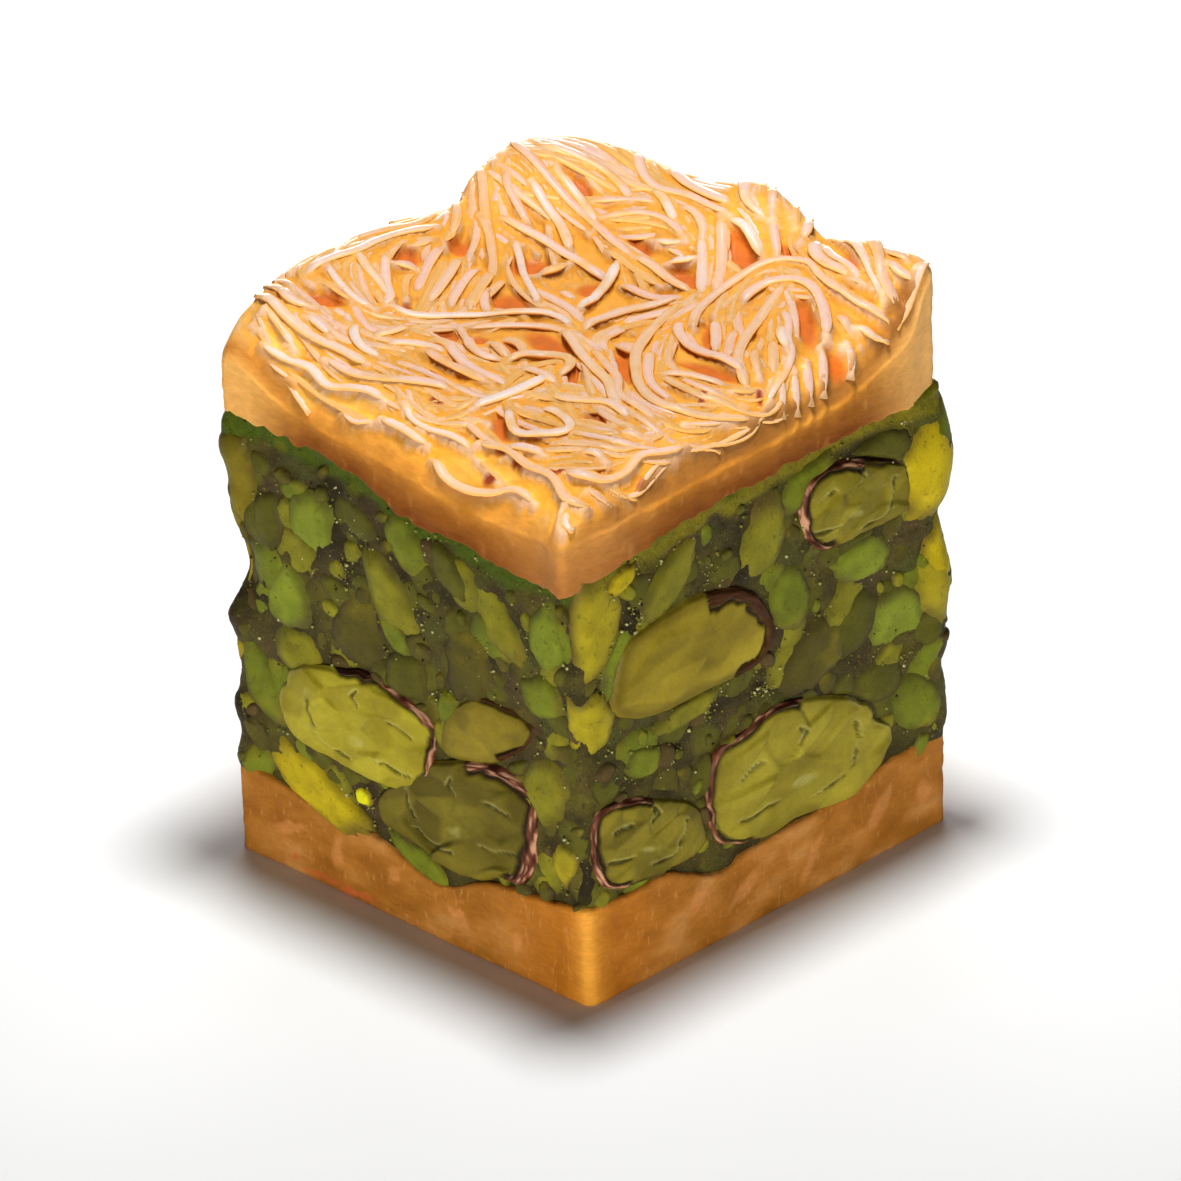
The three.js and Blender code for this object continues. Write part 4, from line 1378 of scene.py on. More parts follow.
# Chopped nuts that show on the two cut sides. A side is counted by quarter turns from the
# front, along runs to the right of somebody facing it, and tilt lifts the right-hand end.
Nut = namedtuple("Nut", "side along height length width tilt tone rough")
SHOWN_NUTS = (
    Nut(0, -9.1, 29.4, 6.4, 5.2, 70, "bright", 0.05),
    Nut(0, -12.1, 22.4, 6.6, 5.4, 60, "bright", 0.05),
    Nut(0, -1.3, 26.4, 8.8, 4.8, -58, "olive", 0.08),
    Nut(0, 9.1, 28.8, 8.4, 4.8, -54, "olive", 0.08),
    Nut(0, 0.4, 31.4, 5.6, 3.6, -60, "green", 0.08),
    Nut(0, -4.6, 22.2, 6.8, 6.0, 80, "paste", 0.16),
    Nut(0, 6.4, 24.0, 7.2, 6.0, 80, "paste", 0.16),
    Nut(0, -11.0, 18.4, 6.2, 4.4, 10, "olive", 0.08),
    Nut(0, -14.9, 14.6, 8.0, 4.2, -62, "green", 0.08),
    Nut(0, 0.1, 20.6, 5.4, 4.6, 10, "dim", 0.08),
    Nut(0, 14.3, 29.0, 6.6, 4.0, 80, "bright", 0.06),
    Nut(0, -16.4, 30.6, 9.0, 4.6, 84, "amber", 0.12),
    Nut(0, -13.6, 28.2, 5.4, 3.2, 86, "dim", 0.08),
    Nut(0, 13.6, 23.9, 5.0, 4.0, 30, "green", 0.10),
    Nut(0, 4.0, 19.4, 3.2, 2.6, 60, "green", 0.12),
    Nut(0, -4.6, 31.6, 5.0, 3.2, -30, "dim", 0.12),
    Nut(0, 4.6, 30.9, 4.8, 3.2, -50, "dim", 0.12),
    Nut(0, -10.4, 7.7, 12.4, 4.6, -20, "yellow", 0.14),
    Nut(0, -5.0, 8.7, 2.1, 1.7, 10, "lemon", 0.12),
    Nut(0, -4.7, 6.9, 2.6, 1.7, 60, "hole", 0.2),
    Nut(0, 13.4, 16.0, 7.6, 5.4, 50, "olive", 0.08),
    Nut(0, 15.4, 10.9, 4.0, 3.0, 70, "lime", 0.16),
    Nut(0, 1.0, 5.6, 8.0, 2.4, -20, "green", 0.10),
    Nut(0, -17.0, 10.4, 3.6, 1.6, 80, "hole", 0.2),
    Nut(0, -17.2, 22.6, 4.4, 2.4, 86, "yellow", 0.16),
    Nut(1, 16.0, 30.0, 9.5, 7.6, -80, "yellow", 0.10),
    Nut(1, 17.0, 20.6, 9.6, 6.0, -80, "lime", 0.10),
    Nut(1, 9.8, 24.8, 6.8, 4.2, -10, "bright", 0.08),
    Nut(1, 12.9, 18.4, 6.6, 5.8, -58, "bright", 0.05),
    Nut(1, 11.0, 14.2, 6.2, 4.2, -10, "dim", 0.08),
    Nut(1, 14.8, 10.9, 6.6, 4.6, -50, "green", 0.08),
    Nut(1, 4.6, 19.0, 7.4, 6.2, 20, "paste", 0.16),
    Nut(1, 8.8, 20.0, 6.0, 5.0, 60, "dim", 0.08),
    Nut(1, 2.7, 24.8, 7.2, 4.4, -72, "green", 0.08),
    Nut(1, -0.1, 30.2, 8.4, 5.4, 72, "olive", 0.08),
    Nut(1, -8.7, 30.9, 7.8, 4.2, 48, "olive", 0.08),
    Nut(1, -15.9, 30.4, 9.0, 5.6, 84, "lime", 0.12),
    Nut(1, -13.7, 27.0, 6.2, 2.6, 62, "bright", 0.08),
    Nut(1, 4.4, 33.3, 7.4, 3.4, 14, "green", 0.08),
    Nut(1, 11.4, 32.9, 6.4, 3.6, 0, "dim", 0.08),
    Nut(1, -16.4, 22.4, 6.0, 5.0, 80, "lime", 0.16),
    Nut(1, -16.6, 19.4, 3.2, 1.6, 20, "hole", 0.2),
    Nut(1, -7.6, 19.8, 7.4, 2.4, 8, "olive", 0.12),
    Nut(1, -9.6, 17.2, 2.4, 2.2, 30, "brown", 0.16),
    Nut(1, -11.6, 17.6, 4.4, 3.0, -20, "green", 0.10),
    Nut(1, -13.2, 33.2, 3.4, 2.0, 20, "yellow", 0.16),
)

# The rule by which the filling's solid has its chopped nuts, for the two hidden sides.
CHUNK_COLUMNS = 4
CHUNK_ROWS = 5
CHUNK_STAGGER = 0.25
CHUNK_JITTER = 0.2
CHUNK_EDGE = 1.5
CHUNK_KERNEL_GAP = 0.8
CHUNK_LENGTHS = (4.8, 7.6)
CHUNK_SLIMNESS = (0.6, 0.85)

Kernel = namedtuple("Kernel", "side along height length width tilt depth")
KERNELS = (
    Kernel(0, -5.2, 14.8, 15.0, 8.4, 7, 4.2),
    Kernel(0, 9.0, 19.3, 8.6, 4.9, 22, 3.4),
    Kernel(0, 5.9, 11.0, 15.6, 8.2, 18, 4.0),
    Kernel(1, 8.9, 30.4, 11.0, 6.4, -17, 3.8),
    Kernel(1, -7.0, 24.7, 15.4, 8.0, -5, 4.2),
    Kernel(1, 3.2, 11.4, 17.2, 8.8, -8, 4.4),
    Kernel(1, -11.4, 12.0, 10.6, 6.0, -24, 3.4),
    Kernel(2, -6.5, 13.2, 16.0, 8.8, -12, 4.2),
    Kernel(2, 7.5, 26.0, 14.6, 8.0, 26, 4.0),
    Kernel(3, 6.0, 13.6, 15.8, 8.6, 14, 4.2),
    Kernel(3, -7.0, 27.2, 13.4, 7.4, -20, 3.8),
)


def seeded(seed):
    state = seed

    def draw(low, high):
        nonlocal state
        state = (state * 1664525 + 1013904223) % 4294967296
        return low + (high - low) * state / 4294967296

    return draw


def clear_of(nut, other, gap):
    """True where a nut's middle lies outside another one's outline, grown by the gap."""
    across, over = turned(nut.along - other.along, nut.height - other.height, -other.tilt)
    return math.hypot(across / (other.length / 2 + gap), over / (other.width / 2 + gap)) > 1


def chunks():
    """The chopped nuts of all four sides, as the solid has them."""
    draw = seeded(7)
    tones = ("bright", "green", "olive", "dim", "paste", "lime", "green", "yellow")
    bottom, top = BASE_TOP + CHUNK_EDGE, LID_FLOOR - CHUNK_EDGE
    found = []
    for side in range(4):
        for row in range(CHUNK_ROWS):
            for column in range(CHUNK_COLUMNS):
                length = draw(*CHUNK_LENGTHS)
                stagger = CHUNK_STAGGER if row % 2 else -CHUNK_STAGGER
                jitter = draw(-CHUNK_JITTER, CHUNK_JITTER)
                along = ((column + 0.5 + stagger + jitter) / CHUNK_COLUMNS - 0.5) * SIDE
                jitter = draw(-CHUNK_JITTER, CHUNK_JITTER)
                height = bottom + (top - bottom) * (row + 0.5 + jitter) / CHUNK_ROWS
                width = length * draw(*CHUNK_SLIMNESS)
                tone = tones[len(found) % len(tones)]
                nut = Nut(side, along, height, length, width, draw(0, 180), tone, 0.1)
                others = [kernel for kernel in KERNELS if kernel.side == side]
                if all(clear_of(nut, other, CHUNK_KERNEL_GAP) for other in others):
                    found.append(nut)
    return found


def on_face(nut, across, over):
    """Place along the side and height of a place counted along and across a nut."""
    along, height = turned(across, over, nut.tilt)
    return nut.along + along, nut.height + height


def nut_outline(nut, columns, seed):
    """A broken nut's outline: a few flat sides with soft corners, and a rough edge."""
    random = np.random.default_rng(seed)
    angle = np.arange(columns) / columns * 2 * math.pi
    sides = int(random.integers(6, 9))
    normals = (np.arange(sides) + random.uniform(-0.25, 0.25, sides)) / sides * 2 * math.pi
    normals = normals + random.uniform(0, 2 * math.pi)
    reaches = random.uniform(0.90, 1.06, sides)
    press = np.clip(np.cos(angle[:, None] - normals), 0, None) / reaches
    reach = np.sum(press**9, axis=1) ** (-1 / 9)
    place = np.stack([np.cos(angle), np.sin(angle), np.full(columns, seed * 3.7)], axis=-1)
    rough = nut.rough * (1.2 * noise(place, 0.3, seed) + 0.8 * noise(place, 0.12, seed + 1))
    return reach * np.cos(angle) * nut.length / 2, reach * np.sin(angle) * nut.width / 2, rough


def in_kernel(side, along, height):
    """1 well inside the outline of a whole kernel on this side, 0 outside them all."""
    share = np.zeros(np.shape(along))
    for other in KERNELS:
        if other.side != side:
            continue
        across, over = turned(along - other.along, height - other.height, -other.tilt)
        reach = np.hypot(across / (other.length / 2), over / (other.width / 2))
        share = np.maximum(share, smooth(*KERNEL_PRESS_FADE, reach))
    return share


def add_nut(pieces, nut, cut, seed, bulge):
    """A chopped nut: a nearly flat cut face and a round back inside the paste."""
    across, over, rough = nut_outline(nut, cut.columns, seed)
    share = np.linspace(0, 1, cut.rows + 1)[1:]
    share = 1 - (1 - share) ** 1.5
    back = np.linspace(0, math.pi / 2, 5)[1:-1]
    scale = np.concatenate([share, np.cos(back)])
    face_out = NUT_LEVEL + bulge * (1 - share**5)
    out = np.concatenate([face_out, NUT_LEVEL - cut.depth * np.sin(back)])
    frayed = scale[:, None] * (1 + rough * scale[:, None] ** 3)
    grid_across, grid_over = frayed * across, frayed * over
    slope = np.random.default_rng(seed + 1).normal(0, NUT_SLOPE, 2)
    grid_out = out[:, None] + slope[0] * grid_across + slope[1] * grid_over
    along, height = on_face(nut, grid_across, grid_over)
    grid_out = grid_out - KERNEL_PRESS * in_kernel(nut.side, along, height)
    rings = on_side(nut.side, along, height, grid_out)
    lumps = NUT_LUMPS * fractal(rings, 1.3, 3, seed + 4)
    rings = on_side(nut.side, along, height, grid_out + lumps + corner_push(rings))
    heart, rim = NUT_TONES[nut.tone]
    edge = smooth(0.45, 0.95, scale)[:, None] + 0.5 * fractal(rings, 1.1, 3, seed + 6)
    colours = mix(heart, rim, np.clip(edge, 0, 1))
    pale = smooth(0.1, 0.9, grid_across / (nut.length / 2) + 0.5 * noise(rings, 1.0, seed + 7))
    colours = mix(colours, NUT_END, pale * NUT_END_SHARE * (nut.tone in NUT_END_TONES))
    colours = colours * (1 + NUT_MOTTLE * fractal(rings, 1.1, 3, seed + 8))[..., None]
    veil = smooth(0.5, 1.0, scale)[:, None] * smooth(-0.4, 0.5, fractal(rings, 2.0, 3, seed + 11))
    colours = mix(colours, PASTE_PURPLE, veil * NUT_VEIL)
    # painted shade in the crevice at the nut's rim
    crevice_shade = smooth(0.9, 1.0, scale)[:, None] * smooth(-0.2, 0.4, noise(rings, 1.6, seed + 9))
    colours = mix(colours, NUT_CREVICE_SHADE, crevice_shade * NUT_CREVICE_SHADE_SHARE)
    middle = rings[0].mean(axis=0)
    pole_b = on_side(nut.side, nut.along, nut.height, NUT_LEVEL - cut.depth)
    pieces.add(middle, rings, pole_b, colours)


def scattered(random, tries, lengths, tones, overlap, placed):
    """Broken nuts of a range of lengths, between those that are placed already."""
    found = []
    for _ in range(tries):
        side = int(random.integers(4))
        along = random.uniform(-HALF + 0.6, HALF - 0.6)
        height = random.uniform(BASE_TOP + 0.8, LID_FLOOR)
        length = random.uniform(*lengths)
        tone = tones[random.integers(len(tones))]
        width = length * random.uniform(0.6, 0.9)
        nut = Nut(side, along, height, length, width, random.uniform(0, 180), tone, 0.14)
        x, y, _ = on_side(side, along, height, 0.0)
        if height + length / 2 > lid_floor(x, y) - 0.7:
            continue
        others = [other for other in placed if other.side == side]
        near = [other for other in found if other.side == side]
        if all(clear_of(nut, other, -overlap * length) for other in others) and all(
            math.hypot(nut.along - o.along, nut.height - o.height)
            > (nut.length + o.length) * (0.45 - overlap)
            for o in near
        ):
            found.append(nut)
    return found


def add_nuts(name, nuts, cut):
    """One piece of the scene with all nuts of a kind."""
    random = np.random.default_rng(cut.seed)
    pieces = Pieces()
    for index, nut in enumerate(nuts):
        add_nut(pieces, nut, cut, cut.seed + 20 * index, random.uniform(*cut.bulges))
    pieces.make(name, NUT, "nut_filling", "pistachio_filling")


# How each kind of nut is cut: points round it, rings on its face, seed, how far the face
# bulges, and its depth in the paste.
Cut = namedtuple("Cut", "columns rows seed bulges depth")
CHOPPED = Cut(52, 10, 100, (0.5, 0.66), 1.6)
BURIED = Cut(28, 8, 3000, (0.30, 0.46), 1.4)
FRAGMENTS = Cut(18, 5, 9000, (0.42, 0.60), 0.8)
HOLES = Cut(36, 8, 500, (0.25, 0.30), 0.8)
BURIED_TRIES = 900
BURIED_LENGTHS = (3.4, 6.0)
BURIED_OVERLAP = 0.2
BURIED_TONES = ("dim", "olive", "paste", "dim", "green")
FRAGMENT_TRIES = 1500
FRAGMENT_LENGTHS = (1.2, 2.8)
FRAGMENT_TONES = ("dim", "paste", "olive", "paste", "brown", "dim", "green")


def nuts():
    """All the chopped nuts; returns the large ones."""
    random = np.random.default_rng(12)
    large = [nut for nut in chunks() if nut.side > 1]
    large += SHOWN_NUTS
    holes = [nut for nut in large if nut.tone == "hole"]
    shown = [nut for nut in large if nut.tone != "hole"]
    around = [*large, *KERNELS]
    buried = scattered(
        random, BURIED_TRIES, BURIED_LENGTHS, BURIED_TONES, BURIED_OVERLAP, around
    )
    small = scattered(random, FRAGMENT_TRIES, FRAGMENT_LENGTHS, FRAGMENT_TONES, 0.0, around)
    add_nuts("chopped_nuts", shown, CHOPPED)
    add_nuts("buried_nuts", buried, BURIED)
    add_nuts("nut_fragments", small, FRAGMENTS)
    add_nuts("nut_holes", holes, HOLES)
    return large


CRUMB_TONES = ((150, 148, 78), (186, 180, 122), (112, 116, 46), (52, 42, 24), (124, 114, 50))
CRUMBS = 3200
CRUMB_SIDES = 5
CRUMB_OUT = (-0.5, -0.1)
CRUMB_SIZE = (0.045, 0.10)  # the smallest, and how much the largest one adds to it
CRUMBS_IN_HEAPS = 0.2
CRUMBS_NEAR = 0.75  # share in heaps or round chopped nuts; the rest lies anywhere
# Places where ground nut lies thick: side, place along it, height.
CRUMB_HEAPS = (
    (0, -4.3, 31.2),
    (0, -5.6, 27.0),
    (0, 1.8, 26.4),
    (0, 7.8, 24.8),
    (0, -7.2, 7.9),
    (1, -4.9, 29.8),
    (1, -12.1, 29.6),
    (1, 4.9, 28.7),
    (1, -15.6, 24.8),
    (1, 0.0, 18.6),
    (1, -4.9, 19.6),
)


def crumb_place(random, large):
    """A place on one of the sides, most often at the edge of a chopped nut or in a heap."""
    kind = random.random()
    if kind < CRUMBS_IN_HEAPS:
        side, along, height = CRUMB_HEAPS[random.integers(len(CRUMB_HEAPS))]
        return side, along + random.normal(0, 0.6), height + random.normal(0, 0.9)
    if kind < CRUMBS_NEAR:
        nut = large[random.integers(len(large))]
        turn = random.uniform(0, 2 * math.pi)
        reach = random.normal(1.04, 0.10)
        across = math.cos(turn) * nut.length / 2 * reach
        over = math.sin(turn) * nut.width / 2 * reach
        return nut.side, *on_face(nut, across, over)
    along = random.uniform(-HALF + 0.8, HALF - 0.8)
    return int(random.integers(4)), along, random.uniform(BASE_TOP + 0.4, LID_FLOOR - 0.3)


def crumbs(large):
    """Grains of ground nut, thickest round the chopped nuts."""
    random = np.random.default_rng(31)
    pieces = Pieces()
    smallest, more = CRUMB_SIZE
    angle = np.arange(CRUMB_SIDES) / CRUMB_SIDES * 2 * math.pi
    for _ in range(CRUMBS):
        side, along, height = crumb_place(random, large)
        out = random.uniform(*CRUMB_OUT)
        push = corner_push(on_side(side, along, height, out))
        centre = on_side(side, along, height, out + push)
        x, y, z = centre
        if abs(along) > HALF - 1 or not base_top(x, y) + 0.3 < z < lid_floor(x, y) - 0.1:
            continue
        size = smallest + more * random.random() ** 2
        levels = np.array([-0.5, 0.5])[:, None]
        radius = size * random.uniform(0.6, 1.2, (2, CRUMB_SIDES))
        local = np.stack(
            np.broadcast_arrays(radius * np.cos(angle), radius * np.sin(angle), levels * size), -1
        )
        spin = Vector(random.normal(0, 1, 3)).normalized()
        turn = np.array(Matrix.Rotation(random.uniform(0, 6), 3, spin)).T
        poles = np.array([[0, 0, -size], [0, 0, size]]) @ turn + centre
        tone = np.array(CRUMB_TONES[random.integers(len(CRUMB_TONES))], float)
        rings = local @ turn + centre
        pieces.add(poles[0], rings, poles[1], np.broadcast_to(tone, rings.shape))
    pieces.make("nut_crumbs", NUT, "nut_filling", "pistachio_filling")


# ---- Whole kernels --------------------------------------------------------------------

KERNEL_COLUMNS = 150
KERNEL_RINGS = 32
KERNEL_BACK_RINGS = 4
KERNEL_BOXINESS = 2.8
KERNEL_BULGE = 0.35
FACETS = 26
FACET_RUN = (0.94, 0.34)  # direction in which the flat breaks of a face run
FACET_LENGTH = 2.0  # in times their width
FACET_SLOPE = 0.045
FACET_STEP = 0.05
FACET_TONE = 0.22
RAGGED_RIM = 0.15
FRAYED_RIM = 0.5
CRACK_WIDTH = 0.10
CRACK_DEPTH = 0.14
LIP_PLACE = 0.2  # beside the crack
LIP_RISE = 0.06
CHIP_DEPTH = 0.05
SKIN_RISE = 0.08
SKIN_WRINKLE = 0.09
GROOVE_DEPTH = 0.16  # between the skin and the flesh
RIM_DROP = 0.28
KERNEL_LEVEL = -0.12  # a face's own level, under the place from which it stands out

SKIN_DARK = (50, 24, 16)
SKIN_MID = (108, 60, 40)
SKIN_PINK = (196, 146, 112)
SKIN_BROWN = (80, 48, 20)
CRUST_PALE = (184, 172, 110)
# painted shade in the groove between the skin and the flesh
GROOVE_SHADE = (26, 16, 10)
# pale of the chips in the flesh, and painted highlight on the raised lips beside the cracks
CHIP_PALE_AND_LIP_HIGHLIGHT = (186, 180, 118)

# Marks on the faces of cut kernels, in halves of their length and width from the middle:
# cracks as points along them, chips as a middle and half sizes.
CRACKS = (
    ((0.60, -0.36), (0.50, -0.56), (0.36, -0.65), (0.14, -0.74)),
    ((-0.27, -0.60), (-0.47, -0.70), (-0.68, -0.74)),
    ((0.57, 0.38), (0.62, 0.05), (0.58, -0.33)),
    ((-0.12, 0.66), (-0.02, 0.52), (-0.09, 0.36)),
    ((-0.74, 0.02), (-0.62, 0.16), (-0.50, 0.22)),
)
CHIPS = ((0.0, -0.36, 0.20, 0.13), (-0.60, 0.20, 0.08, 0.06), (-0.06, 0.48, 0.04, 0.13))

# A kernel's cut face: light and dark of its flesh; its skin as (from, to, width, colour), in
# degrees anticlockwise from the right and mm; the direction of its frayed end; whether the
# marks lie as listed (1), mirrored (-1) or not at all (0); the points of its outline; and how
# far it stands out.
Face = namedtuple("Face", "light dark skins frayed marks outline out")
FACES = (
    Face(
        (176, 162, 44), (136, 122, 28),
        ((60, 118, 0.30, "dark"), (-42, 60, 0.42, "pink")),
        180, -1,
        ((-12.8, 14.9), (-10.9, 17.4), (-6.6, 18.7), (-3.1, 19.4), (1.9, 18.1), (2.8, 15.8),
         (1.3, 11.8), (-2.8, 10.8), (-10.1, 10.9), (-12.4, 12.1)),
        0.2,
    ),
    Face(
        (148, 129, 36), (112, 96, 26),
        ((10, 110, 0.22, "brown"), (-60, 10, 0.5, "brown")),
        None, 0,
        ((3.6, 15.5), (3.8, 18.9), (6.4, 21.3), (9.3, 21.9), (12.8, 20.9), (9.1, 17.0)),
        -0.05,
    ),
    Face(
        (124, 111, 32), (86, 75, 20),
        ((-36, 72, 0.95, "pink"), (150, 260, 0.14, "dark")),
        None, -1,
        ((-3.4, 8.9), (-2.4, 10.6), (2.3, 14.4), (7.8, 16.5), (12.6, 15.8), (12.9, 13.5),
         (12.0, 8.4), (8.7, 7.3), (5.8, 6.2), (-0.3, 7.1), (-2.9, 7.5)),
        0.1,
    ),
    Face(
        (152, 138, 38), (112, 100, 26),
        ((78, 235, 0.45, "pink"), (235, 438, 0.14, "dark")),
        None, 1,
        ((3.6, 31.9), (4.5, 33.7), (7.6, 33.8), (13.3, 31.3), (14.3, 29.8), (14.2, 27.8),
         (12.0, 27.0), (9.1, 27.0), (5.7, 27.3), (4.0, 29.3)),
        0.15,
    ),
    Face(
        (166, 146, 38), (116, 99, 24),
        ((-42, 66, 1.0, "brown"),),
        None, 0,
        ((-14.7, 24.1), (-14.3, 22.6), (-11.0, 21.1), (-5.3, 20.8), (-0.7, 20.9), (0.9, 22.8),
         (0.1, 25.6), (-2.3, 27.9), (-6.6, 29.0), (-10.7, 28.5), (-13.4, 27.8)),
        0.15,
    ),
    Face(
        (168, 154, 46), (124, 110, 30),
        ((90, 222, 0.34, "pink"),),
        12, 1,
        ((-5.8, 12.1), (-4.8, 15.2), (-2.3, 15.9), (1.3, 16.7), (6.1, 15.2), (9.4, 13.4),
         (10.9, 11.2), (12.4, 9.8), (11.9, 8.4), (8.4, 6.0), (2.9, 6.5), (0.2, 6.4), (-4.5, 7.7),
         (-5.7, 10.5)),
        0.2,
    ),
    Face(
        (140, 125, 36), (102, 90, 24),
        ((85, 235, 0.45, "pink"), (235, 330, 0.12, "dark")),
        None, 1,
        ((-16.8, 15.1), (-15.5, 15.6), (-12.8, 15.3), (-7.4, 12.5), (-6.1, 9.8), (-6.6, 8.3),
         (-8.7, 7.9), (-12.7, 8.2), (-15.7, 9.1), (-16.8, 11.4)),
        0.15,
    ),
    Face((172, 157, 58), (128, 114, 38), ((20, 150, 0.4, "pink"),), 200, -1, None, 0.15),
    Face((146, 130, 50), (108, 94, 34), ((150, 290, 0.45, "pink"),), None, 1, None, 0.15),
    Face((164, 148, 56), (120, 106, 38), ((-60, 60, 0.4, "pink"),), 170, -1, None, 0.15),
    Face((140, 124, 48), (100, 88, 32), ((80, 200, 0.5, "brown"),), None, 0, None, 0.15),
)


def kernel_outline(kernel, face):
    """The outline round the kernel's middle: through its own points, or a boxy oval."""
    angle = np.arange(KERNEL_COLUMNS) / KERNEL_COLUMNS * 2 * math.pi
    if face.outline is None:
        corner = np.abs(np.cos(angle)) ** KERNEL_BOXINESS + np.abs(np.sin(angle)) ** KERNEL_BOXINESS
        reach = corner ** (-1 / KERNEL_BOXINESS)
        across = reach * np.cos(angle) * kernel.length / 2
        over = reach * np.sin(angle) * kernel.width / 2
        outline = np.stack(on_face(kernel, across, over), axis=-1)
        return outline, np.array([kernel.along, kernel.height])
    points = np.array(face.outline)
    centre = (points.min(axis=0) + points.max(axis=0)) / 2
    closed = np.vstack([points[-2:], points, points[:3]])
    curve = spline(closed, 0.1)
    start = np.argmin(np.hypot(*(curve - points[0]).T)[: len(curve) // 3])
    turns = np.unwrap(np.arctan2(curve[start:, 1] - centre[1], curve[start:, 0] - centre[0]))
    if turns[-1] < turns[0]:
        turns, curve = turns[::-1], curve[start:][::-1]
    else:
        curve = curve[start:]
    turns = np.maximum.accumulate(turns)
    first = turns[0]
    wanted = first + (angle - first) % (2 * math.pi)
    reach = np.interp(wanted, turns, np.hypot(*(curve - centre).T))
    outline = centre + reach[:, None] * np.stack([np.cos(angle), np.sin(angle)], axis=-1)
    return outline, centre


def skin_of(face, degrees):
    """Width of the skin at each angle, and the shares of pink and brown in its colour."""
    width, pink, brown = (np.zeros(len(degrees)) for _ in range(3))
    for start, end, size, tone in face.skins:
        middle, half = (start + end) / 2, (end - start) / 2
        off = np.abs((degrees - middle + 180) % 360 - 180)
        share = smooth(half + 8, half - 8, off)
        width = np.maximum(width, size * share)
        pink = np.maximum(pink, share * (tone == "pink"))
        brown = np.maximum(brown, share * (tone == "brown"))
    return width, pink, brown


def facets(plane, random, reach):
    """Heights, tones and edges of the flat breaks of a cut face, longest across it."""
    centres = random.uniform(-1, 1, (FACETS, 2)) * reach
    slopes = random.normal(0, FACET_SLOPE, (FACETS, 2))
    levels = random.normal(0, FACET_STEP, FACETS)
    tones = random.normal(0, FACET_TONE, FACETS)
    away = plane[..., None, :] - centres
    cosine, sine = FACET_RUN
    across = away[..., 0] * cosine + away[..., 1] * sine
    over = away[..., 1] * cosine - away[..., 0] * sine
    square = (across / FACET_LENGTH) ** 2 + over**2
    closest = np.sort(square, axis=-1)
    weight = np.exp(-(square - closest[..., :1]) / 0.12)
    weight /= weight.sum(axis=-1, keepdims=True)
    height = np.sum(weight * (levels + np.sum(slopes * away, axis=-1)), axis=-1)
    edge = smooth(0.30, 0.0, np.sqrt(closest[..., 1]) - np.sqrt(closest[..., 0]))
    return height, np.sum(weight * tones, axis=-1), edge


def beside_line(plane, line):
    """Distance of points from a line through the given places, and which side they are on."""
    nearest = np.full(plane.shape[:-1], 99.0)
    side = np.zeros(plane.shape[:-1])
    for a, b in zip(line, line[1:]):
        run = b - a
        share = np.clip(np.sum((plane - a) * run, axis=-1) / np.sum(run * run), 0, 1)
        away = plane - (a + share[..., None] * run)
        distance = np.hypot(away[..., 0], away[..., 1])
        closer = distance < nearest
        nearest = np.where(closer, distance, nearest)
        above = np.sign(away[..., 1])
        side = np.where(closer, above, side)
    return nearest, side


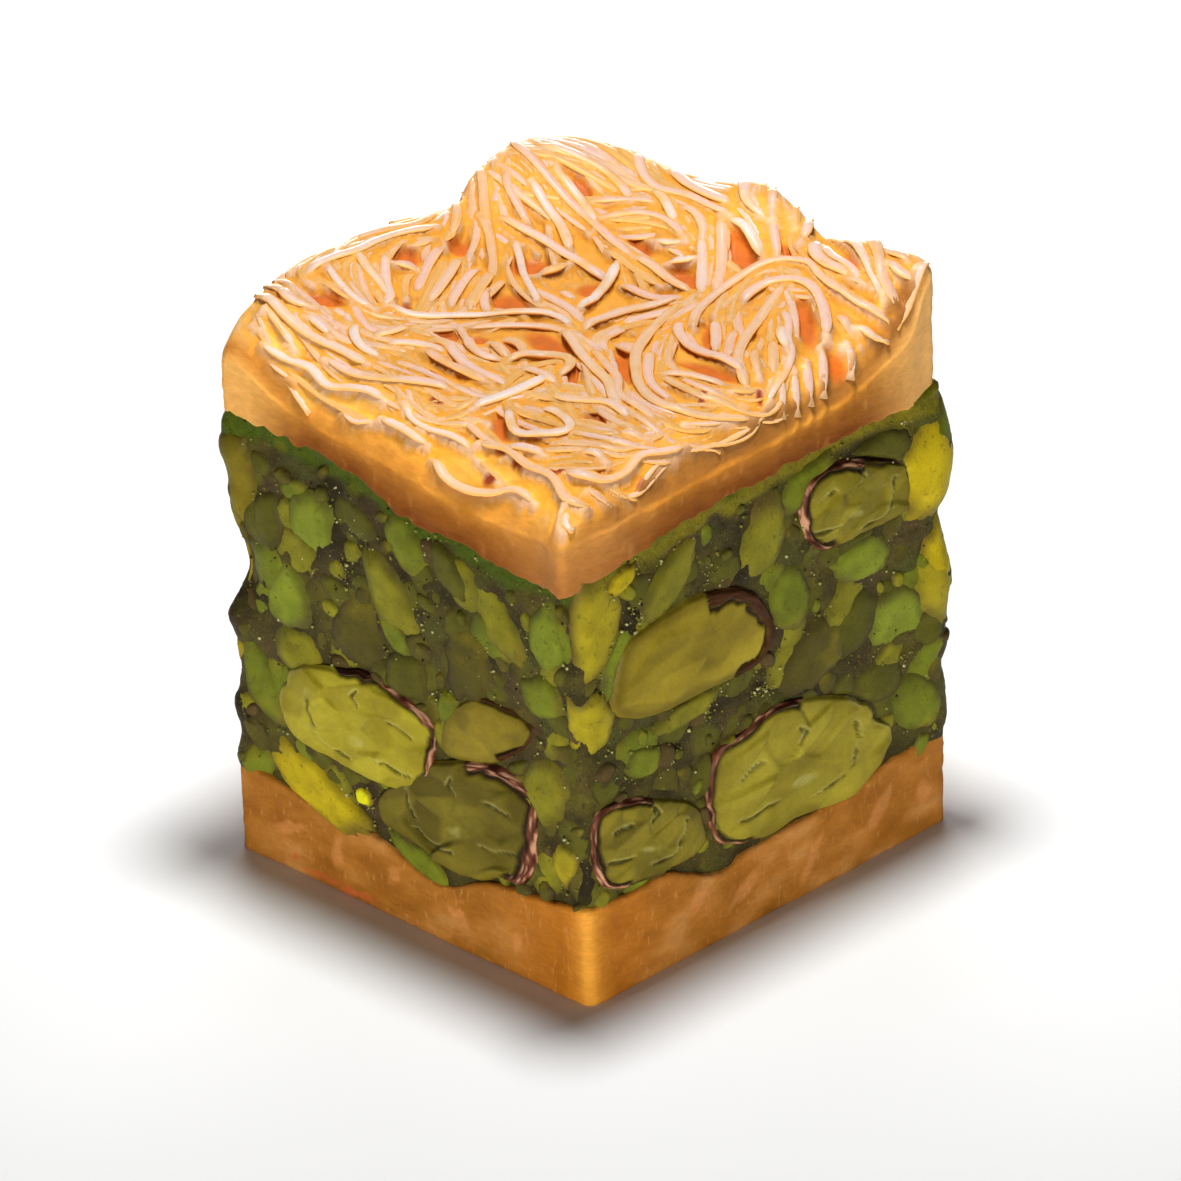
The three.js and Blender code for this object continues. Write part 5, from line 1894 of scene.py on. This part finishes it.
def kernel(index):
    solid, face = KERNELS[index], FACES[index]
    seed = 300 + 20 * index
    random = np.random.default_rng(seed)
    outline, centre = kernel_outline(solid, face)
    offset = outline - centre
    reach = np.hypot(*offset.T)
    degrees = np.degrees(np.arctan2(offset[:, 1], offset[:, 0]))
    frayed = np.zeros(len(degrees))
    if face.frayed is not None:
        frayed = smooth(38, 12, np.abs((degrees - face.frayed + 180) % 360 - 180))
    rim_points = np.column_stack([outline, np.full(len(outline), seed)])
    ragged = RAGGED_RIM * fractal(rim_points, 1.2, 3, seed)
    ragged = ragged + FRAYED_RIM * frayed * fractal(rim_points, 1.3, 3, seed + 1)
    offset = offset * (1 + ragged / reach)[:, None]
    share = 1 - (1 - np.linspace(0, 1, KERNEL_RINGS + 1)[1:]) ** 1.5
    back = np.linspace(0, math.pi / 2, KERNEL_BACK_RINGS + 2)[1:-1]
    scale = np.concatenate([share, np.cos(back)])[:, None]
    plane = scale[..., None] * offset
    front = np.arange(len(scale))[:, None] < KERNEL_RINGS
    from_rim = np.where(front, (1 - scale) * reach, 0.0)
    points = np.dstack([plane, np.full(plane.shape[:2], seed)])
    cut = abs(face.marks)
    hidden = solid.side > 1
    breaks, tones, edges = facets(plane, random, np.array([solid.length, solid.width]) / 2)
    width, pink, brown = skin_of(face, degrees)
    width = width * (1 + 0.3 * noise(rim_points, 0.9, seed + 5))
    skin = smooth(-0.05, 0.05, width - from_rim) * (width > 0.03)
    gap = 0.06 + 0.10 * smooth(-0.2, 0.6, noise(rim_points, 1.6, seed + 6)) + 0.12 * width
    groove = np.exp(-(((from_rim - width - gap) / gap) ** 2)) * smooth(0.05, 0.25, width)
    relief = breaks * (0.3 + 0.9 * cut) + 0.05 * fractal(points, 1.2, 3, seed + 3)
    crack, lip = np.zeros(from_rim.shape), np.zeros(from_rim.shape)
    chip = np.zeros(from_rim.shape)
    half = np.array([solid.length * (face.marks or 1), solid.width]) / 2
    tilt = math.radians(solid.tilt)
    turn = np.array([[math.cos(tilt), math.sin(tilt)], [-math.sin(tilt), math.cos(tilt)]])
    wobble = 0.12 * noise(points, 0.8, seed + 8)
    torn = fractal(points, 1.2, 3, seed + 10)
    cracks = CRACKS[index % 2 :: 2] if hidden else CRACKS
    for line in cracks if cut else ():
        distance, side = beside_line(plane, np.array(line) * half @ turn)
        distance = distance + wobble
        crack = np.maximum(crack, np.exp(-((distance / CRACK_WIDTH) ** 2)))
        lip = np.maximum(lip, np.exp(-((distance * side - LIP_PLACE) ** 2) / 0.02))
    for x, y, long, wide in CHIPS if cut else ():
        place = (plane - np.array([x, y]) * half @ turn) @ turn.T / np.abs(half)
        distance = np.hypot(place[..., 0] / long, place[..., 1] / wide)
        chip = np.maximum(chip, smooth(1.1, 0.6, distance + 0.7 * torn))
    relief = relief - CRACK_DEPTH * crack + LIP_RISE * lip - CHIP_DEPTH * chip
    wrinkle = noise(np.dstack([points[..., :2] * 0.5, from_rim * 3]), 0.4, seed + 7)
    relief = relief + skin * (SKIN_RISE + SKIN_WRINKLE * wrinkle) - GROOVE_DEPTH * groove
    dome = KERNEL_BULGE * (1 - scale ** (3 + 2 * cut)) - RIM_DROP * smooth(0.3, 0.0, from_rim)
    level = face.out + KERNEL_LEVEL
    sunk = np.concatenate([np.zeros(KERNEL_RINGS), 0.3 + solid.depth * np.sin(back)])[:, None]
    out = level + np.where(front, dome + relief, -RIM_DROP - sunk)
    along, height = centre[0] + plane[..., 0], centre[1] + plane[..., 1]
    rings = on_side(solid.side, along, height, out)
    tone = 0.55 + tones + 0.5 * fractal(points, (4.0, 2.2, 4.0), 3, seed + 9)
    tone = tone - 0.45 * smooth(1.4, 0.0, from_rim) * (1.6 - cut)
    colours = mix(face.dark, face.light, np.clip(tone, 0, 1))
    colours = mix(colours, np.array(face.dark) * 0.8, edges * 0.16 * cut)
    # painted shade down in each crack
    colours = mix(colours, np.array(face.dark) * 0.45, np.clip(crack * 1.2, 0, 1) * 0.75)
    # painted highlight along the raised lip beside each crack
    colours = mix(colours, CHIP_PALE_AND_LIP_HIGHLIGHT, np.clip(lip, 0, 1) * 0.4 * (1 - crack))
    colours = mix(colours, CHIP_PALE_AND_LIP_HIGHLIGHT, chip * smooth(-0.4, 0.3, torn) * 0.5)
    crust = frayed * smooth(0.7, 0.1, from_rim) * smooth(-0.3, 0.3, noise(points, 0.6, seed + 4))
    colours = mix(colours, CRUST_PALE, crust * 0.8)
    streak = fractal(np.dstack([points[..., :2] * 0.45, from_rim * 4]), 0.45, 2, seed + 13)
    skin_colour = mix(SKIN_DARK, SKIN_MID, smooth(-0.4, 0.1, streak) * pink)
    skin_colour = mix(skin_colour, SKIN_PINK, smooth(0.1, 0.4, streak) * pink)
    skin_colour = mix(skin_colour, SKIN_BROWN, brown * (0.5 + 0.5 * smooth(-0.4, 0.4, streak)))
    colours = colours * (1 - skin[..., None]) + skin_colour * skin[..., None]
    # painted shade in the groove between skin and flesh
    colours = mix(colours, GROOVE_SHADE, np.clip(groove * 1.2, 0, 1) * 0.85)
    pieces = Pieces()
    pole_a = on_side(solid.side, centre[0], centre[1], level + KERNEL_BULGE)
    pole_b = on_side(solid.side, centre[0], centre[1], level - 0.6 - solid.depth)
    pieces.add(pole_a, rings, pole_b, colours)
    pieces.make(f"kernel_{index + 1}", KERNEL, "kernel", f"pistachio_kernel_{index + 1}")


# ---- Table, light and camera ----------------------------------------------------------

FLOOR_SIZE = 3.0
FLOOR_COLOUR = (228, 228, 228)
PICTURE_WIDTH = 84.36  # millimetres across the picture, at the piece
AIM = (0.475, -0.194, 20.18)
AZIMUTH, ELEVATION, ROLL = 45.0, 30.0, 2.0
CAMERA_DISTANCE = 1.5
CAMERA_CLIP = (0.1, 10.0)
WORLD_LIGHT = 0.05
MIDDLE = (0.0, 0.0, 0.02)
# Lamps, in metres: place, what they aim at, width, height, watts.
LAMPS = {
    "overhead": ((0.0, 0.007, 0.20), MIDDLE, 0.038, 0.038, 0.475),
    "front": ((0.48, -0.62, 0.035), MIDDLE, 0.50, 0.05, 5.15),
    "behind": ((-0.56, 0.56, 0.035), MIDDLE, 0.50, 0.05, 4.2),
    "backdrop": ((-0.20, 0.20, 0.28), (-0.34, 0.34, 0.0), 0.20, 0.20, 1.8),
}


def table_top():
    mesh = bpy.data.meshes.new("table_top")
    half = FLOOR_SIZE / 2
    corners = [(-half, -half, 0), (half, -half, 0), (half, half, 0), (-half, half, 0)]
    mesh.from_pydata(corners, [], [(0, 1, 2, 3)])
    n = Nodes("pale_table")
    shader = n.new("BsdfPrincipled")
    shader.inputs["Base Color"].default_value = (*linear(FLOOR_COLOUR), 1.0)
    shader.inputs["Roughness"].default_value = 0.9
    shader.inputs["Specular IOR Level"].default_value = 0.1
    n.new("OutputMaterial", Surface=shader.outputs["BSDF"])
    mesh.materials.append(n.material)
    piece = bpy.data.objects.new("table_top", mesh)
    bpy.context.collection.objects.link(piece)


def area_light(name, place, aim, width, height, watts):
    data = bpy.data.lights.new(name, "AREA")
    data.shape = "ELLIPSE"
    data.size, data.size_y = width, height
    data.energy = watts
    lamp = bpy.data.objects.new(name, data)
    lamp.location = place
    direction = Vector(aim) - Vector(place)
    lamp.rotation_euler = direction.to_track_quat("-Z", "Y").to_euler()
    bpy.context.collection.objects.link(lamp)


def studio():
    scene = bpy.context.scene
    world = bpy.data.worlds.new("pale_room")
    world.use_nodes = True
    background = world.node_tree.nodes["Background"]
    background.inputs["Color"].default_value = (1.0, 1.0, 1.0, 1.0)
    background.inputs["Strength"].default_value = WORLD_LIGHT
    scene.world = world
    for name, lamp in LAMPS.items():
        area_light(name, *lamp)
    scene.view_settings.view_transform = "Standard"


def camera():
    azimuth, elevation, roll = (math.radians(v) for v in (AZIMUTH, ELEVATION, ROLL))
    right = Vector((math.cos(azimuth), math.sin(azimuth), 0.0))
    back = Vector(
        (
            math.sin(azimuth) * math.cos(elevation),
            -math.cos(azimuth) * math.cos(elevation),
            math.sin(elevation),
        )
    )
    up = back.cross(right)
    right, up = (
        right * math.cos(roll) - up * math.sin(roll),
        right * math.sin(roll) + up * math.cos(roll),
    )
    data = bpy.data.cameras.new("camera")
    data.lens = data.sensor_width * CAMERA_DISTANCE / (PICTURE_WIDTH * MM)
    data.clip_start, data.clip_end = CAMERA_CLIP
    eye = bpy.data.objects.new("camera", data)
    bpy.context.collection.objects.link(eye)
    place = Vector(AIM) * MM + back * CAMERA_DISTANCE
    axes = Matrix((right, up, back)).transposed()
    eye.matrix_world = Matrix.Translation(place) @ axes.to_4x4()
    bpy.context.scene.camera = eye


# ---- The whole piece ------------------------------------------------------------------

camera()
studio()
table_top()
bottom_pastry()
top_pastry(threads())
paste_core()
crumbs(nuts())
for number in range(len(KERNELS)):
    kernel(number)
